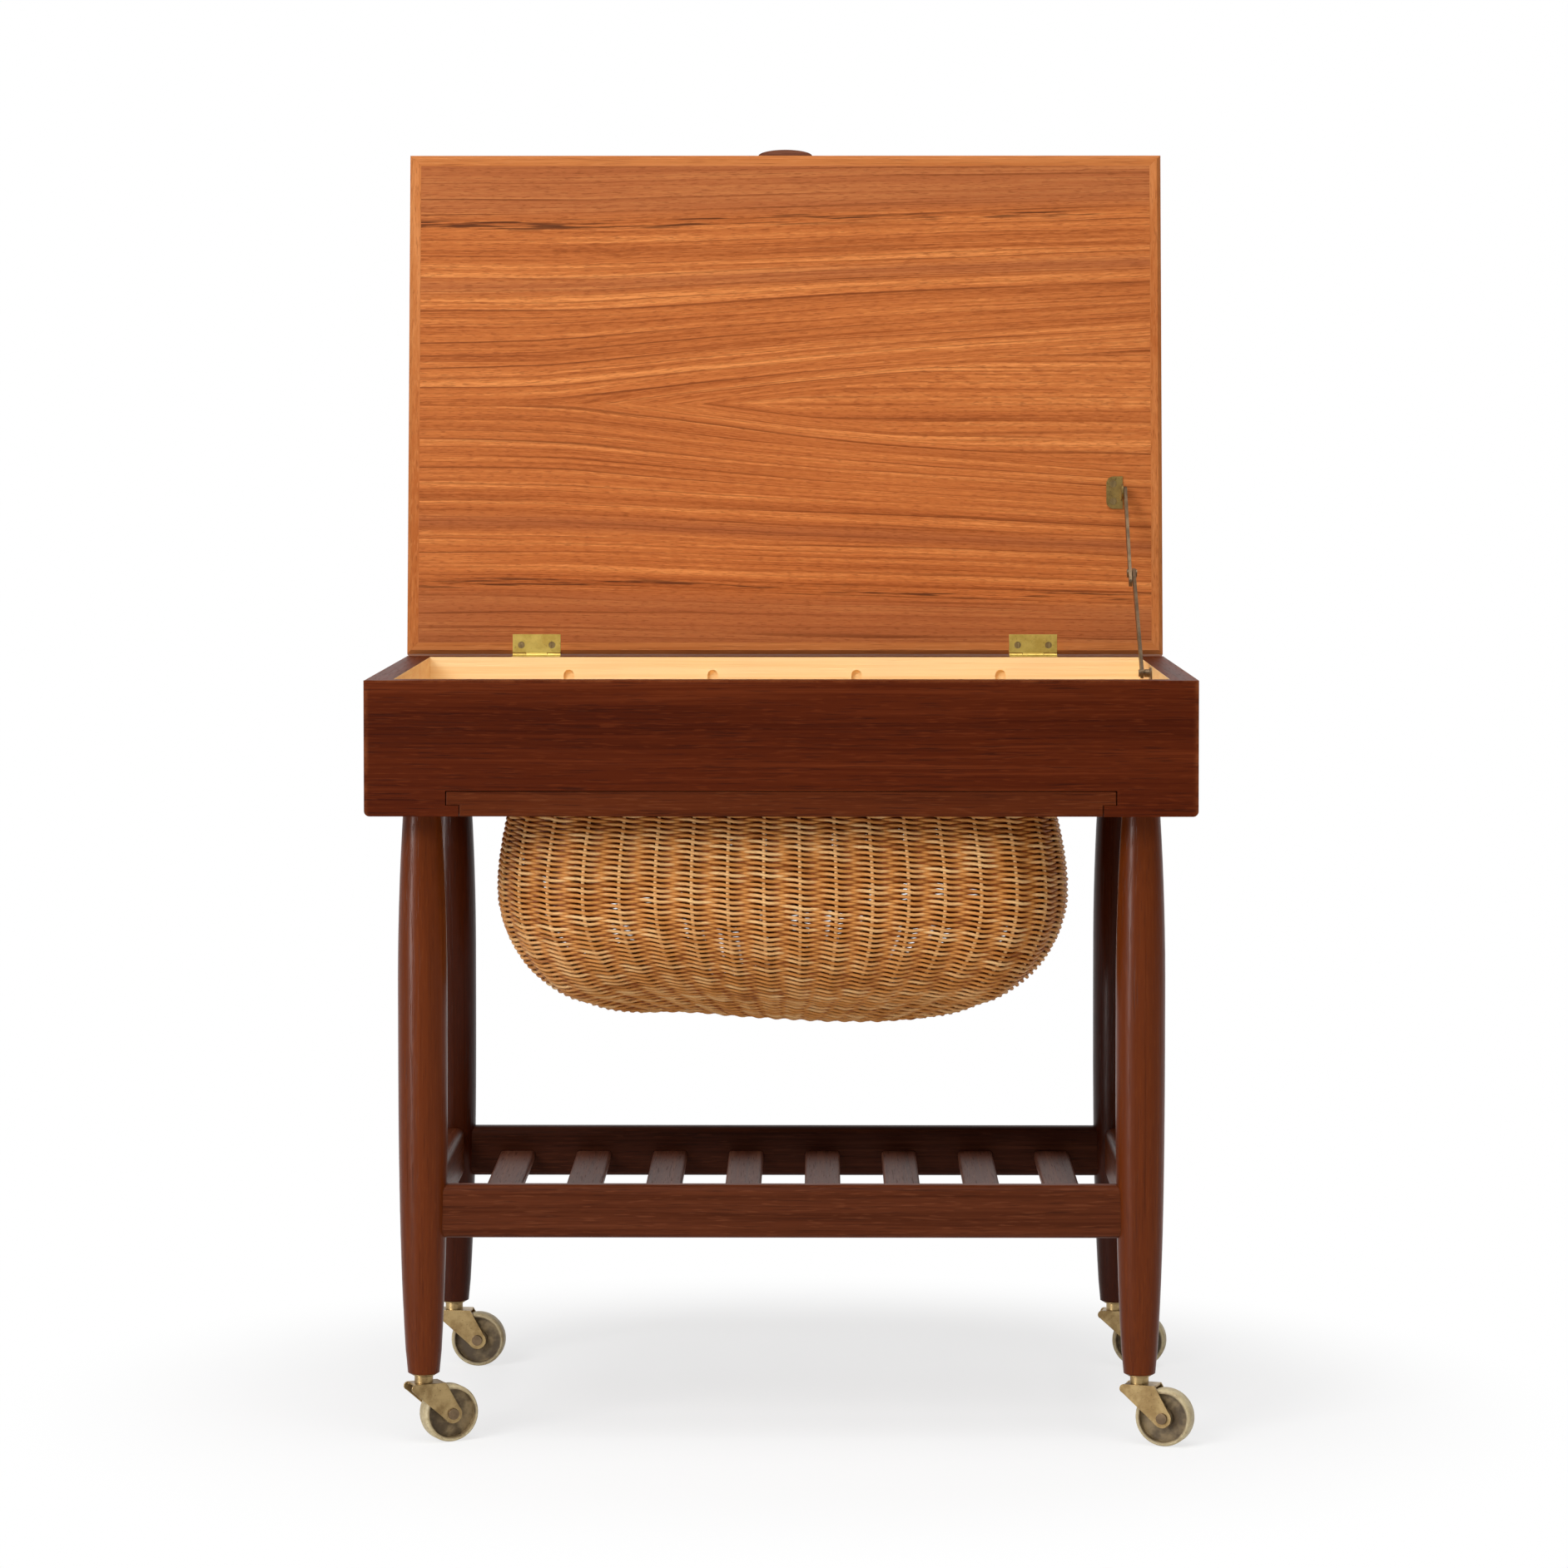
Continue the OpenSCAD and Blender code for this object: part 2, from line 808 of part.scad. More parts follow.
module stay_lid_bracket() {
    plate_l = 26;
    plate_w = 13;
    plate_corner = 6;
    y0 = pin_y - lid_pivot_reach;
    x0 = ear_x + ear_thickness - plate_w;
    color(brass) with_lid() {
        difference() {
            translate([x0, y0 - plate_l / 2, lid_z - leaf_thickness]) linear_extrude(leaf_thickness) {
                rounded_rect(plate_w, plate_l, plate_corner);
                translate([plate_corner, 0]) square([plate_w - plate_corner, plate_l]);
            }
            at_lid_bracket_screws() translate([0, 0, -5]) cylinder(h = 10, r = screw_head_radius + glue_fit);
        }
        along_x(ear_x, ear_thickness) {
            translate([y0 - 6, lid_z - lid_pivot_drop]) square([12, lid_pivot_drop - 0.2]);
            translate([y0, pin_z - lid_pivot_drop]) circle(6);
        }
        x_cylinder(ear_x, [y0, pin_z - lid_pivot_drop], upper_x + arm_thickness + 0.3 - ear_x, pivot_radius);
    }
}

module stay_box_bracket() {
    wall_plate = 20;
    wall_plate_drop = 16;
    plate_corner = 3;
    color(brass) {
        difference() {
            along_x(in_w - leaf_thickness, leaf_thickness) {
                translate([wall_pivot[0] - wall_plate / 2, wall_pivot[1] - wall_plate_drop]) {
                    rounded_rect(wall_plate, wall_plate, plate_corner);
                }
            }
            at_wall_screws() translate([0, 0, -5]) cylinder(h = 10, r = screw_head_radius + glue_fit);
        }
        boss_x = lower_x + arm_thickness + 0.4;
        x_cylinder(boss_x, wall_pivot, in_w - boss_x, pivot_radius + 1);
    }
}

module stay_upper_arm() {
    color(brass) along_x(upper_x, arm_thickness) {
        translate(elbow) rotate(upper_arm_angle + 180) bar(upper_arm_length, 9);
    }
}

module stay_lower_arm() {
    color(brass) {
        along_x(lower_x, arm_thickness) {
            translate(elbow) rotate(lower_arm_angle + 180) bar(lower_arm_length, 0);
        }
        x_cylinder(lower_x - 1.4, wall_pivot, arm_thickness + 1.4, pivot_radius + 0.8);
    }
}

module stay_elbow_rivet() {
    color(brass) {
        x_cylinder(upper_x - 1.2, elbow, 1.2, pivot_radius + 1.2);
        x_cylinder(upper_x - 0.2, elbow, 2 * arm_thickness + 1.2, pivot_radius);
        x_cylinder(lower_x + arm_thickness + 0.3, elbow, 1, pivot_radius + 1.2);
    }
}

// the basket and its frame

module basket_front_rail() {
    color(teak) along_y(frame_front_y, panel_thickness) {
        translate([-flange_x, base_z + frame_step]) square([2 * flange_x, frame_height - frame_step]);
        translate([-body_x, base_z]) square([2 * body_x, frame_height]);
    }
}

module basket_back_rail() {
    color(teak) along_y(opening_back_y, frame_thickness) {
        translate([-flange_x, base_z + frame_step]) square([2 * flange_x, frame_height - frame_step]);
        translate([-body_x, base_z]) square([2 * body_x, frame_height]);
    }
}

module runner(s) {
    along_y(opening_front_y, opening_back_y - opening_front_y) polygon([
        [s * opening_x, base_z],
        [s * body_x, base_z],
        [s * body_x, base_z + frame_step],
        [s * flange_x, base_z + frame_step],
        [s * flange_x, frame_top_z],
        [s * opening_x, frame_top_z]
    ]);
}

module basket_left_runner() {
    color(teak) runner(-1);
}

module basket_right_runner() {
    color(teak) runner(1);
}

// half of the basket wall in section, with x as the reach past the core
module basket_section() {
    top = frame_top_z - border_drop;
    polygon(concat(
        [[border_reach - border_width, top], [border_reach, top], [border_reach, base_z + border_drop]],
        wall_line(rib_height),
        [[-1, basket_z + basket_round], [-1, basket_z + basket_round + basket_wall]],
        reversed(wall_line(basket_wall))
    ));
}

// the ribs that the weave makes over the upright stakes
module rib() {
    outside = [for (i = [0 : rib_steps]) wall_line(0)[i]];
    root = [for (i = [0 : rib_steps]) wall_line(rib_height + rib_root)[i]];
    translate([0, rib_width / 2, 0]) rotate([90, 0, 0]) linear_extrude(rib_width) {
        polygon(concat(outside, reversed(root)));
    }
}

module ribs() {
    for (i = [0 : quarter_stakes - 1], sx = [-1, 1], sy = [-1, 1]) {
        run = stake_run(i);
        turn = min(90, 90 * max(0, run - core_y) / corner_run);
        past = max(0, run - core_y - corner_run);
        translate([sx * (core_x - past), sy * min(run, core_y), 0]) {
            rotate([0, 0, atan2(sy * sin(turn), sx * cos(turn))]) rib();
        }
    }
}

// the bowl in section, full to its rim and raised by d
module bowl_section(half, d) {
    top = basket_z + basket_round + basket_wall - bowl_lap + d;
    edge = [
        for (i = [0 : bowl_steps])
            let (s = i / bowl_steps)
            [half - bowl_run * s, basket_z + basket_round * pow(1 - s, 2) + d]
    ];
    polygon(concat([[-half, top], [half, top]], edge, [for (p = reversed(edge)) [-p[0], p[1]]]));
}

module bowl(d) {
    intersection() {
        along_x(-core_x, 2 * core_x) bowl_section(core_y, d);
        along_y(-core_y, 2 * core_y) bowl_section(core_x, d);
    }
}

module basket() {
    color(cane) translate([0, basket_y, 0]) {
        for (sx = [-1, 1], sy = [-1, 1]) translate([sx * core_x, sy * core_y, 0]) {
            rotate([0, 0, sx > 0 ? (sy > 0 ? 0 : -90) : (sy > 0 ? 90 : 180)]) {
                rotate_extrude(angle = 90) intersection() {
                    basket_section();
                    translate([0, basket_z]) square(box_width);
                }
            }
        }
        for (s = [0, 180]) rotate([0, 0, s]) {
            translate([core_x, core_y, 0]) rotate([90, 0, 0]) linear_extrude(2 * core_y) basket_section();
            rotate([0, 0, 90]) translate([core_y, core_x, 0]) rotate([90, 0, 0]) {
                linear_extrude(2 * core_x) basket_section();
            }
        }
        difference() {
            bowl(0);
            bowl(basket_wall);
        }
        ribs();
    }
}

// the casters, drawn with the trail along +x

module at_caster(sx, sy, turn) {
    translate([sx * leg_x, sy * leg_y, 0]) rotate([0, 0, turn]) children();
}

module caster_sockets() {
    color(brass) for (sx = [-1, 1], sy = [-1, 1]) translate([sx * leg_x, sy * leg_y, caster_height]) {
        difference() {
            union() {
                cylinder(h = stem_length + 4, r = socket_radius);
                translate([0, 0, -socket_flange]) cylinder(h = socket_flange, r = socket_radius + 2.5);
            }
            translate([0, 0, -2]) cylinder(h = stem_length + 4, r = stem_radius + run_fit);
        }
    }
}

module cheek() {
    eye = [caster_trail, wheel_radius];
    nose = [fork_front + fork_nose, fork_top_z - fork_nose];
    front = nose + (fork_nose - 0.2) * [cos(225), sin(225)];
    back = [fork_back, fork_top_z];
    polygon([
        [nose[0], fork_top_z],
        nose,
        front,
        tangent_point(front, eye, fork_eye - 0.3, -1),
        eye,
        tangent_point(back, eye, fork_eye - 0.3, 1),
        back
    ]);
    translate(eye) circle(fork_eye);
    translate(nose) circle(fork_nose);
}

module fork() {
    neck_z = caster_height - socket_flange - 0.4;
    color(brass) {
        difference() {
            for (y0 = [-fork_half - sheet, fork_half]) along_y(y0, sheet) cheek();
            translate([caster_trail, axle_cut / 2, wheel_radius]) rotate([90, 0, 0]) {
                cylinder(h = axle_cut, r = axle_radius + glue_fit);
            }
        }
        translate([fork_front + fork_nose, -fork_half - sheet, fork_top_z - sheet]) {
            cube([fork_back - fork_front - fork_nose, 2 * fork_half + 2 * sheet, sheet]);
        }
        translate([0, 0, fork_top_z - 0.5]) cylinder(h = neck_z - fork_top_z + 0.5, r = neck_radius);
        translate([0, 0, fork_top_z]) cylinder(h = caster_height + stem_length - fork_top_z, r = stem_radius);
    }
}

module axle() {
    half = fork_half + sheet;
    color(brass) translate([caster_trail, 0, wheel_radius]) rotate([90, 0, 0]) {
        translate([0, 0, -half - 0.2]) cylinder(h = 2 * half + 0.4, r = axle_radius);
        for (z = [-half - 1.4, half + 0.1]) translate([0, 0, z]) cylinder(h = 1.3, r = axle_radius + 1.6);
    }
}

module wheel() {
    h = wheel_width / 2;
    bore = axle_radius + run_fit;
    web = wheel_radius - wheel_rim;
    color(cream) translate([caster_trail, 0, wheel_radius]) rotate([90, 0, 0]) rotate_extrude() polygon([
        [bore, -h], [wheel_hub_radius, -h], [wheel_hub_radius, -h + wheel_recess], [web, -h + wheel_recess],
        [web, -h], [wheel_radius - 1.6, -h], [wheel_radius - 0.5, -h + 0.9], [wheel_radius, -h + 2.6],
        [wheel_radius, h - 2.6], [wheel_radius - 0.5, h - 0.9], [wheel_radius - 1.6, h], [web, h],
        [web, h - wheel_recess], [wheel_hub_radius, h - wheel_recess], [wheel_hub_radius, h], [bore, h]
    ]);
}

module caster_front_left_fork() {
    at_caster(-1, -1, turn_front_left) fork();
}

module caster_front_left_axle() {
    at_caster(-1, -1, turn_front_left) axle();
}

module caster_front_left_wheel() {
    at_caster(-1, -1, turn_front_left) wheel();
}

module caster_front_right_fork() {
    at_caster(1, -1, turn_front_right) fork();
}

module caster_front_right_axle() {
    at_caster(1, -1, turn_front_right) axle();
}

module caster_front_right_wheel() {
    at_caster(1, -1, turn_front_right) wheel();
}

module caster_back_left_fork() {
    at_caster(-1, 1, turn_back_left) fork();
}

module caster_back_left_axle() {
    at_caster(-1, 1, turn_back_left) axle();
}

module caster_back_left_wheel() {
    at_caster(-1, 1, turn_back_left) wheel();
}

module caster_back_right_fork() {
    at_caster(1, 1, turn_back_right) fork();
}

module caster_back_right_axle() {
    at_caster(1, 1, turn_back_right) axle();
}

module caster_back_right_wheel() {
    at_caster(1, 1, turn_back_right) wheel();
}

front_panel();
back_panel();
left_panel();
right_panel();
bottom_board();
left_bearer();
right_bearer();
dividers();
leg_front_left();
leg_front_right();
leg_back_left();
leg_back_right();
shelf_front_rail();
shelf_back_rail();
shelf_left_rail();
shelf_right_rail();
slat_1();
slat_2();
slat_3();
slat_4();
slat_5();
slat_6();
slat_7();
slat_8();
caster_sockets();
hinge_box_leaves();
box_screws();
stay_box_bracket();
lid_panel();
lid_front_lipping();
lid_back_lipping();
lid_left_lipping();
lid_right_lipping();
lid_pull();
hinge_lid_leaves();
hinge_pins();
lid_screws();
stay_lid_bracket();
stay_upper_arm();
stay_lower_arm();
stay_elbow_rivet();
basket_front_rail();
basket_back_rail();
basket_left_runner();
basket_right_runner();
basket();
caster_front_left_fork();
caster_front_left_axle();
caster_front_left_wheel();
caster_front_right_fork();
caster_front_right_axle();
caster_front_right_wheel();
caster_back_left_fork();
caster_back_left_axle();
caster_back_left_wheel();
caster_back_right_fork();
caster_back_right_axle();
caster_back_right_wheel();
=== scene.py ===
import json
import math

import bmesh
import bpy
import numpy as np
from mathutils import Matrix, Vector

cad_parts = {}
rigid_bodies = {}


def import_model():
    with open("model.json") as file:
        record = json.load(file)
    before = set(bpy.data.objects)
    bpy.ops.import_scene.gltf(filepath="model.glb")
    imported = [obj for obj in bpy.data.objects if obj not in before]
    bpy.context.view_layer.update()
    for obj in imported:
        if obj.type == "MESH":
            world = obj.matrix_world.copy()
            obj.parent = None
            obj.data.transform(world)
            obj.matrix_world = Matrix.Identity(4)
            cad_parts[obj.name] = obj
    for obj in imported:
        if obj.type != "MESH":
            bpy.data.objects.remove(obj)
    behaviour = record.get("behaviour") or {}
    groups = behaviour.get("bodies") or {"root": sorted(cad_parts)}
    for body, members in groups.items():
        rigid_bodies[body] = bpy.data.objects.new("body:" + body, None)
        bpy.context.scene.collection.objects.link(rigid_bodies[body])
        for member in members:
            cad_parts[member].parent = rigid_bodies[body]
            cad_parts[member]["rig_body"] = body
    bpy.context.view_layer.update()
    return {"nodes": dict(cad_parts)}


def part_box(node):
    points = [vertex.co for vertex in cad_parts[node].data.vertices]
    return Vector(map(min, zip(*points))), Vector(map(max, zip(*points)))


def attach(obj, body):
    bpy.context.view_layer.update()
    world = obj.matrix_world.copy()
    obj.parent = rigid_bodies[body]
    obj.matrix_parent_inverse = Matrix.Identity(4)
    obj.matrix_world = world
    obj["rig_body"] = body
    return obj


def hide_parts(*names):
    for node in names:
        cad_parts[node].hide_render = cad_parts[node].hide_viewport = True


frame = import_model()
nodes = frame["nodes"]
scene = bpy.context.scene
scene.view_settings.view_transform = "Standard"
print("frame loaded:", len(nodes), "nodes")


# wiring of node trees

def mathMethod(operation, swapped=False):  # a method of Wire that adds one Math node
    def method(self, other=0.0):
        first, second = (other, self) if swapped else (self, other)
        return self.bench.add("ShaderNodeMath", {"operation": operation}, {0: first, 1: second})
    return method


class Wire:  # a socket that takes part in sums
    def __init__(self, bench, socket):
        self.bench, self.socket = bench, socket

    def ease(self, low, high):  # 0 below low, 1 above high, smooth between
        return self.bench.add(
            "ShaderNodeMapRange", {"interpolation_type": "SMOOTHSTEP"},
            {"Value": self, "From Min": low, "From Max": high},
        )

    __add__, __radd__ = mathMethod("ADD"), mathMethod("ADD", True)
    __sub__, __rsub__ = mathMethod("SUBTRACT"), mathMethod("SUBTRACT", True)
    __mul__, __rmul__ = mathMethod("MULTIPLY"), mathMethod("MULTIPLY", True)
    __truediv__, __rtruediv__ = mathMethod("DIVIDE"), mathMethod("DIVIDE", True)
    __pow__, __mod__ = mathMethod("POWER"), mathMethod("FLOORED_MODULO")
    __gt__, __lt__ = mathMethod("GREATER_THAN"), mathMethod("LESS_THAN")
    __abs__, floor, root = mathMethod("ABSOLUTE"), mathMethod("FLOOR"), mathMethod("SQRT")
    sin, cos, exp = mathMethod("SINE"), mathMethod("COSINE"), mathMethod("EXPONENT")
    least, most = mathMethod("MAXIMUM"), mathMethod("MINIMUM")  # at least, at most


class Bench:  # a node tree and the nodes put in it
    def __init__(self, tree):
        self.tree = tree

    def join(self, socket, value):
        if isinstance(value, Wire):
            self.tree.links.new(value.socket, socket)
        else:
            socket.default_value = value

    def add(self, kind, settings=None, sockets=None, out=0):
        node = self.tree.nodes.new(kind)
        for name, value in (settings or {}).items():
            setattr(node, name, value)
        for name, value in (sockets or {}).items():
            for one in value if isinstance(value, list) else [value]:
                self.join(node.inputs[name], one)
        if isinstance(out, (tuple, list)):
            return [Wire(self, node.outputs[o]) for o in out]
        return Wire(self, node.outputs[out])

    def vector(self, x, y, z):
        return self.add("ShaderNodeCombineXYZ", None, {0: x, 1: y, 2: z})

    def split(self, vector):
        return self.add("ShaderNodeSeparateXYZ", None, {0: vector}, (0, 1, 2))

    def noise(self, x, y, z, detail=2.0, rough=0.5):
        return self.add(
            "ShaderNodeTexNoise", {"noise_dimensions": "3D"},
            {"Vector": self.vector(x, y, z), "Scale": 1.0, "Detail": detail, "Roughness": rough},
        )

    def cloud(self, axes, scales, detail, rough=0.5):  # noise with so many marks per metre on each axis
        x, y, z = [axis * scale for axis, scale in zip(axes, scales)]
        return self.noise(x, y, z, detail, rough)

    def blend(self, share, first, second):
        return self.add("ShaderNodeMix", {"data_type": "RGBA"}, {0: share, 6: first, 7: second}, 2)


def paint(red, green, blue):  # a colour as written on screen, 0 to 255
    def linear(value):
        share = value / 255
        return share / 12.92 if share <= 0.04045 else ((share + 0.055) / 1.055) ** 2.4
    return (linear(red), linear(green), linear(blue), 1.0)


def newFinish(name, fixed):
    material = bpy.data.materials.new(name)
    material.use_nodes = True
    shader = material.node_tree.nodes["Principled BSDF"]
    for socket, value in fixed.items():
        shader.inputs[socket].default_value = value
    return material, Bench(material.node_tree), shader


def bumped(bench, shader, height, look):
    normal = bench.add(
        "ShaderNodeBump", None,
        {"Strength": look["bumpStrength"], "Distance": look["bumpDepth"], "Height": height},
    )
    bench.join(shader.inputs["Normal"], normal)


# wood

woodLook = {  # the pairs of marks are per metre along the grain and across it
    "bands": (0.9, 42.0), "lines": (4.0, 420.0), "pores": (32.0, 1150.0), "flecks": (60.0, 800.0),
    "waves": (2.2, 7.0),
    "waveSize": (0.004, 0.0068),  # how far the grain wanders each way across, metres
    "fleckShift": 3.0,            # sets the flecks apart from the pores
    "poreFrom": (0.58, 0.72), "fleckFrom": (0.57, 0.70),
    "bandWeight": 1.5, "lineWeight": 1.3, "fleckShare": 0.45, "poreShare": 0.55,
    "toBody": (-0.42, 0.06), "toBright": (0.02, 0.5),  # tones between which the colours change
    "lineRough": 0.16, "poreRough": 0.1,
    "lineBump": 0.4, "bumpStrength": 0.35, "bumpDepth": 0.00025,
}


def grainSpace(bench, along):
    place = bench.add("ShaderNodeTexCoord", out="Object")
    axes = bench.split(place)
    order = {"x": (0, 1, 2), "y": (1, 0, 2), "z": (2, 0, 1)}[along]
    return [axes[i] for i in order], axes


def woodFinish(
    name, along, deep, body, bright, pore, contrast=1.0, gloss=0.42, sheen=0.06, inside=None, worn=None,
):
    look = woodLook
    material, bench, shader = newFinish(name, {"IOR": 1.45, "Specular IOR Level": sheen})
    (u, p, q), axes = grainSpace(bench, along)

    def marks(kind, detail=2.0, rough=0.5):
        long, across = look[kind]
        return bench.noise(u * long, p * across, q * across, detail, rough)

    wander = marks("waves") - 0.5
    p = p + wander * look["waveSize"][0]  # the marks that follow wander with p and q
    q = q + wander * look["waveSize"][1]
    bands = marks("bands", 3.0, 0.6)
    lines = marks("lines", 3.0, 0.62)
    pores = marks("pores", 1.0).ease(*look["poreFrom"])
    long, across = look["flecks"]
    flecks = bench.noise(u * long, p * across + look["fleckShift"], q * across, 1.0).ease(*look["fleckFrom"])
    tone = ((bands - 0.5) * look["bandWeight"] + (lines - 0.5) * look["lineWeight"]) * contrast
    colour = bench.blend(tone.ease(*look["toBody"]), paint(*deep), paint(*body))
    colour = bench.blend(tone.ease(*look["toBright"]), colour, paint(*bright))
    colour = bench.blend(flecks * (look["fleckShare"] * contrast), colour, paint(*bright))
    colour = bench.blend(pores * (look["poreShare"] * contrast), colour, paint(*pore))
    rough = lines * look["lineRough"] + pores * look["poreRough"] + (gloss - look["lineRough"] / 2)
    if worn:
        colour, rough = worn(bench, axes, colour, rough)
    if inside:
        colour = inside(bench, axes, colour)
    bench.join(shader.inputs["Base Color"], colour)
    bench.join(shader.inputs["Roughness"], rough)
    bumped(bench, shader, lines * look["lineBump"] - pores, look)
    return material


birchTones = {
    "deep": (246, 206, 146), "body": (250, 214, 156), "bright": (252, 222, 168), "pore": (228, 178, 112),
}
liningLook = {  # metres: the reach of the lining, and of the dividers' grooves in it
    "halfWidth": 0.2803, "halfDepth": 0.1803, "bottom": 0.4796, "grooveDepth": 0.1846, "grooveTop": 0.5495,
    "grain": (3.0, 30.0, 200.0), "toBright": (0.25, 0.65),
}


def birchLining(bench, axes, colour):  # the pale inner faces of the box panels
    look = liningLook
    x, y, z = axes
    groove = (abs(y) < look["grooveDepth"]) * (z < look["grooveTop"])
    lined = (abs(x) < look["halfWidth"]) * (abs(y) < look["halfDepth"]).least(groove) * (z > look["bottom"])
    light = bench.cloud(axes, look["grain"], 3.0, 0.6).ease(*look["toBright"])
    pale = bench.blend(light, paint(*birchTones["deep"]), paint(*birchTones["bright"]))
    return bench.blend(lined, colour, pale)


rubLook = {  # metres from where to where the rubbing grows towards an edge
    "ends": (0.2955, 0.3), "faces": (0.1955, 0.2), "rim": (0.5565, 0.5592),
    "patches": (60.0, 60.0, 60.0), "patchFrom": (0.35, 0.7),
    "share": 0.55, "tone": (150, 82, 44), "roughness": 0.15,
}


def rubbedEdges(bench, axes, colour, rough):  # the rim and the corners of the box, rubbed lighter
    look = rubLook
    x, y, z = axes
    ends, faces = abs(x).ease(*look["ends"]), abs(y).ease(*look["faces"])
    rim = z.ease(*look["rim"]) * ends.least(faces)
    corner = ends * faces
    ragged = bench.cloud(axes, look["patches"], 4.0, 0.7)
    rub = (rim.least(corner) * ragged.ease(*look["patchFrom"])) * look["share"]
    return bench.blend(rub, colour, paint(*look["tone"])), rough + rub * look["roughness"]


lidLook = {  # metres on the standing lid
    "axisHeight": 0.759,   # height of the figure's axis
    "firstFork": -0.180,   # where the figure starts to open, along the width
    "forkRound": 0.04,
    "opening": 0.18,
    "calming": 0.08,       # distance over which the lines straighten again
    "heart": 0.030, "heartSlope": 0.75, "heartRound": 0.002,
    "wander": 0.0035, "wanderMarks": (5.0, 8.0, 14.0), "ripple": 0.0008, "rippleMarks": (24.0, 8.0, 40.0),
    "sideShift": 0.35,     # sets the grain above the axis apart from the grain below it
    # marks per metre along the grain and across it, and their layer of the noise
    "bands": (0.6, 60.0, 0.0), "lines": (5.0, 420.0, 0.0), "dashes": (100.0, 950.0, 8.0),
    "pores": (130.0, 1300.0, 2.0), "broken": (6.0, 130.0, 6.0), "strokes": (16.0, 520.0, 7.0),
    "wideRings": (0.0105, 0.16, 4.0), "fineRings": (0.0042, 0.26, 9.0),  # pitch, share of the line, layer
    "bandWeight": 1.2, "lineWeight": 1.1, "dashWeight": 0.65, "ringWeight": 0.2,
    "toBody": (-0.45, 0.05), "toBright": (0.0, 0.45), "poreFrom": (0.55, 0.70),
    "margin": (0.141, 0.156), "marginShare": 0.6,        # the duller margins
    "darkBand": 0.093, "darkFade": 0.011, "darkShare": 0.5,
    "streak": 0.142, "streakFade": (0.0015, 0.0075), "streakShare": 0.85,  # the broken dark streaks
    "brokenFrom": (0.40, 0.56), "strokeFrom": (0.50, 0.60),
    "fineShare": 0.5, "wideShare": 0.7, "poreShare": 0.42,
    "deep": (150, 78, 37), "body": (188, 108, 55), "bright": (221, 142, 79), "dull": (156, 90, 54),
    "grain": (112, 55, 27), "streakTone": (64, 34, 22),
    "lineRough": 0.14, "poreRough": 0.08, "roughness": 0.42,
    "lineBump": 0.3, "ringBump": 0.5, "bumpStrength": 0.3, "bumpDepth": 0.0002,
}
ringLook = {
    "bends": (1.5, 0.3), "bending": 2.2,
    "runs": (3.5, 5.37), "runLayer": 3.0, "strongFrom": (0.38, 0.66), "lineRise": 0.3,
}


def ringLines(bench, x, place, pitch, layer, width):  # one thin line per growth ring, stronger in some rings
    look = ringLook
    ring = place / pitch
    long, across = look["bends"]
    ring = ring + (bench.noise(x * long, ring * across, layer, 2.0) - 0.5) * look["bending"]
    index = ring.floor()
    edge = ring - index
    long, across = look["runs"]
    strength = bench.noise(x * long, index * across, layer + look["runLayer"], 2.0, 0.6)
    line = edge.ease(1 - width, 1 - width * look["lineRise"])
    return line * strength.ease(*look["strongFrom"]), edge


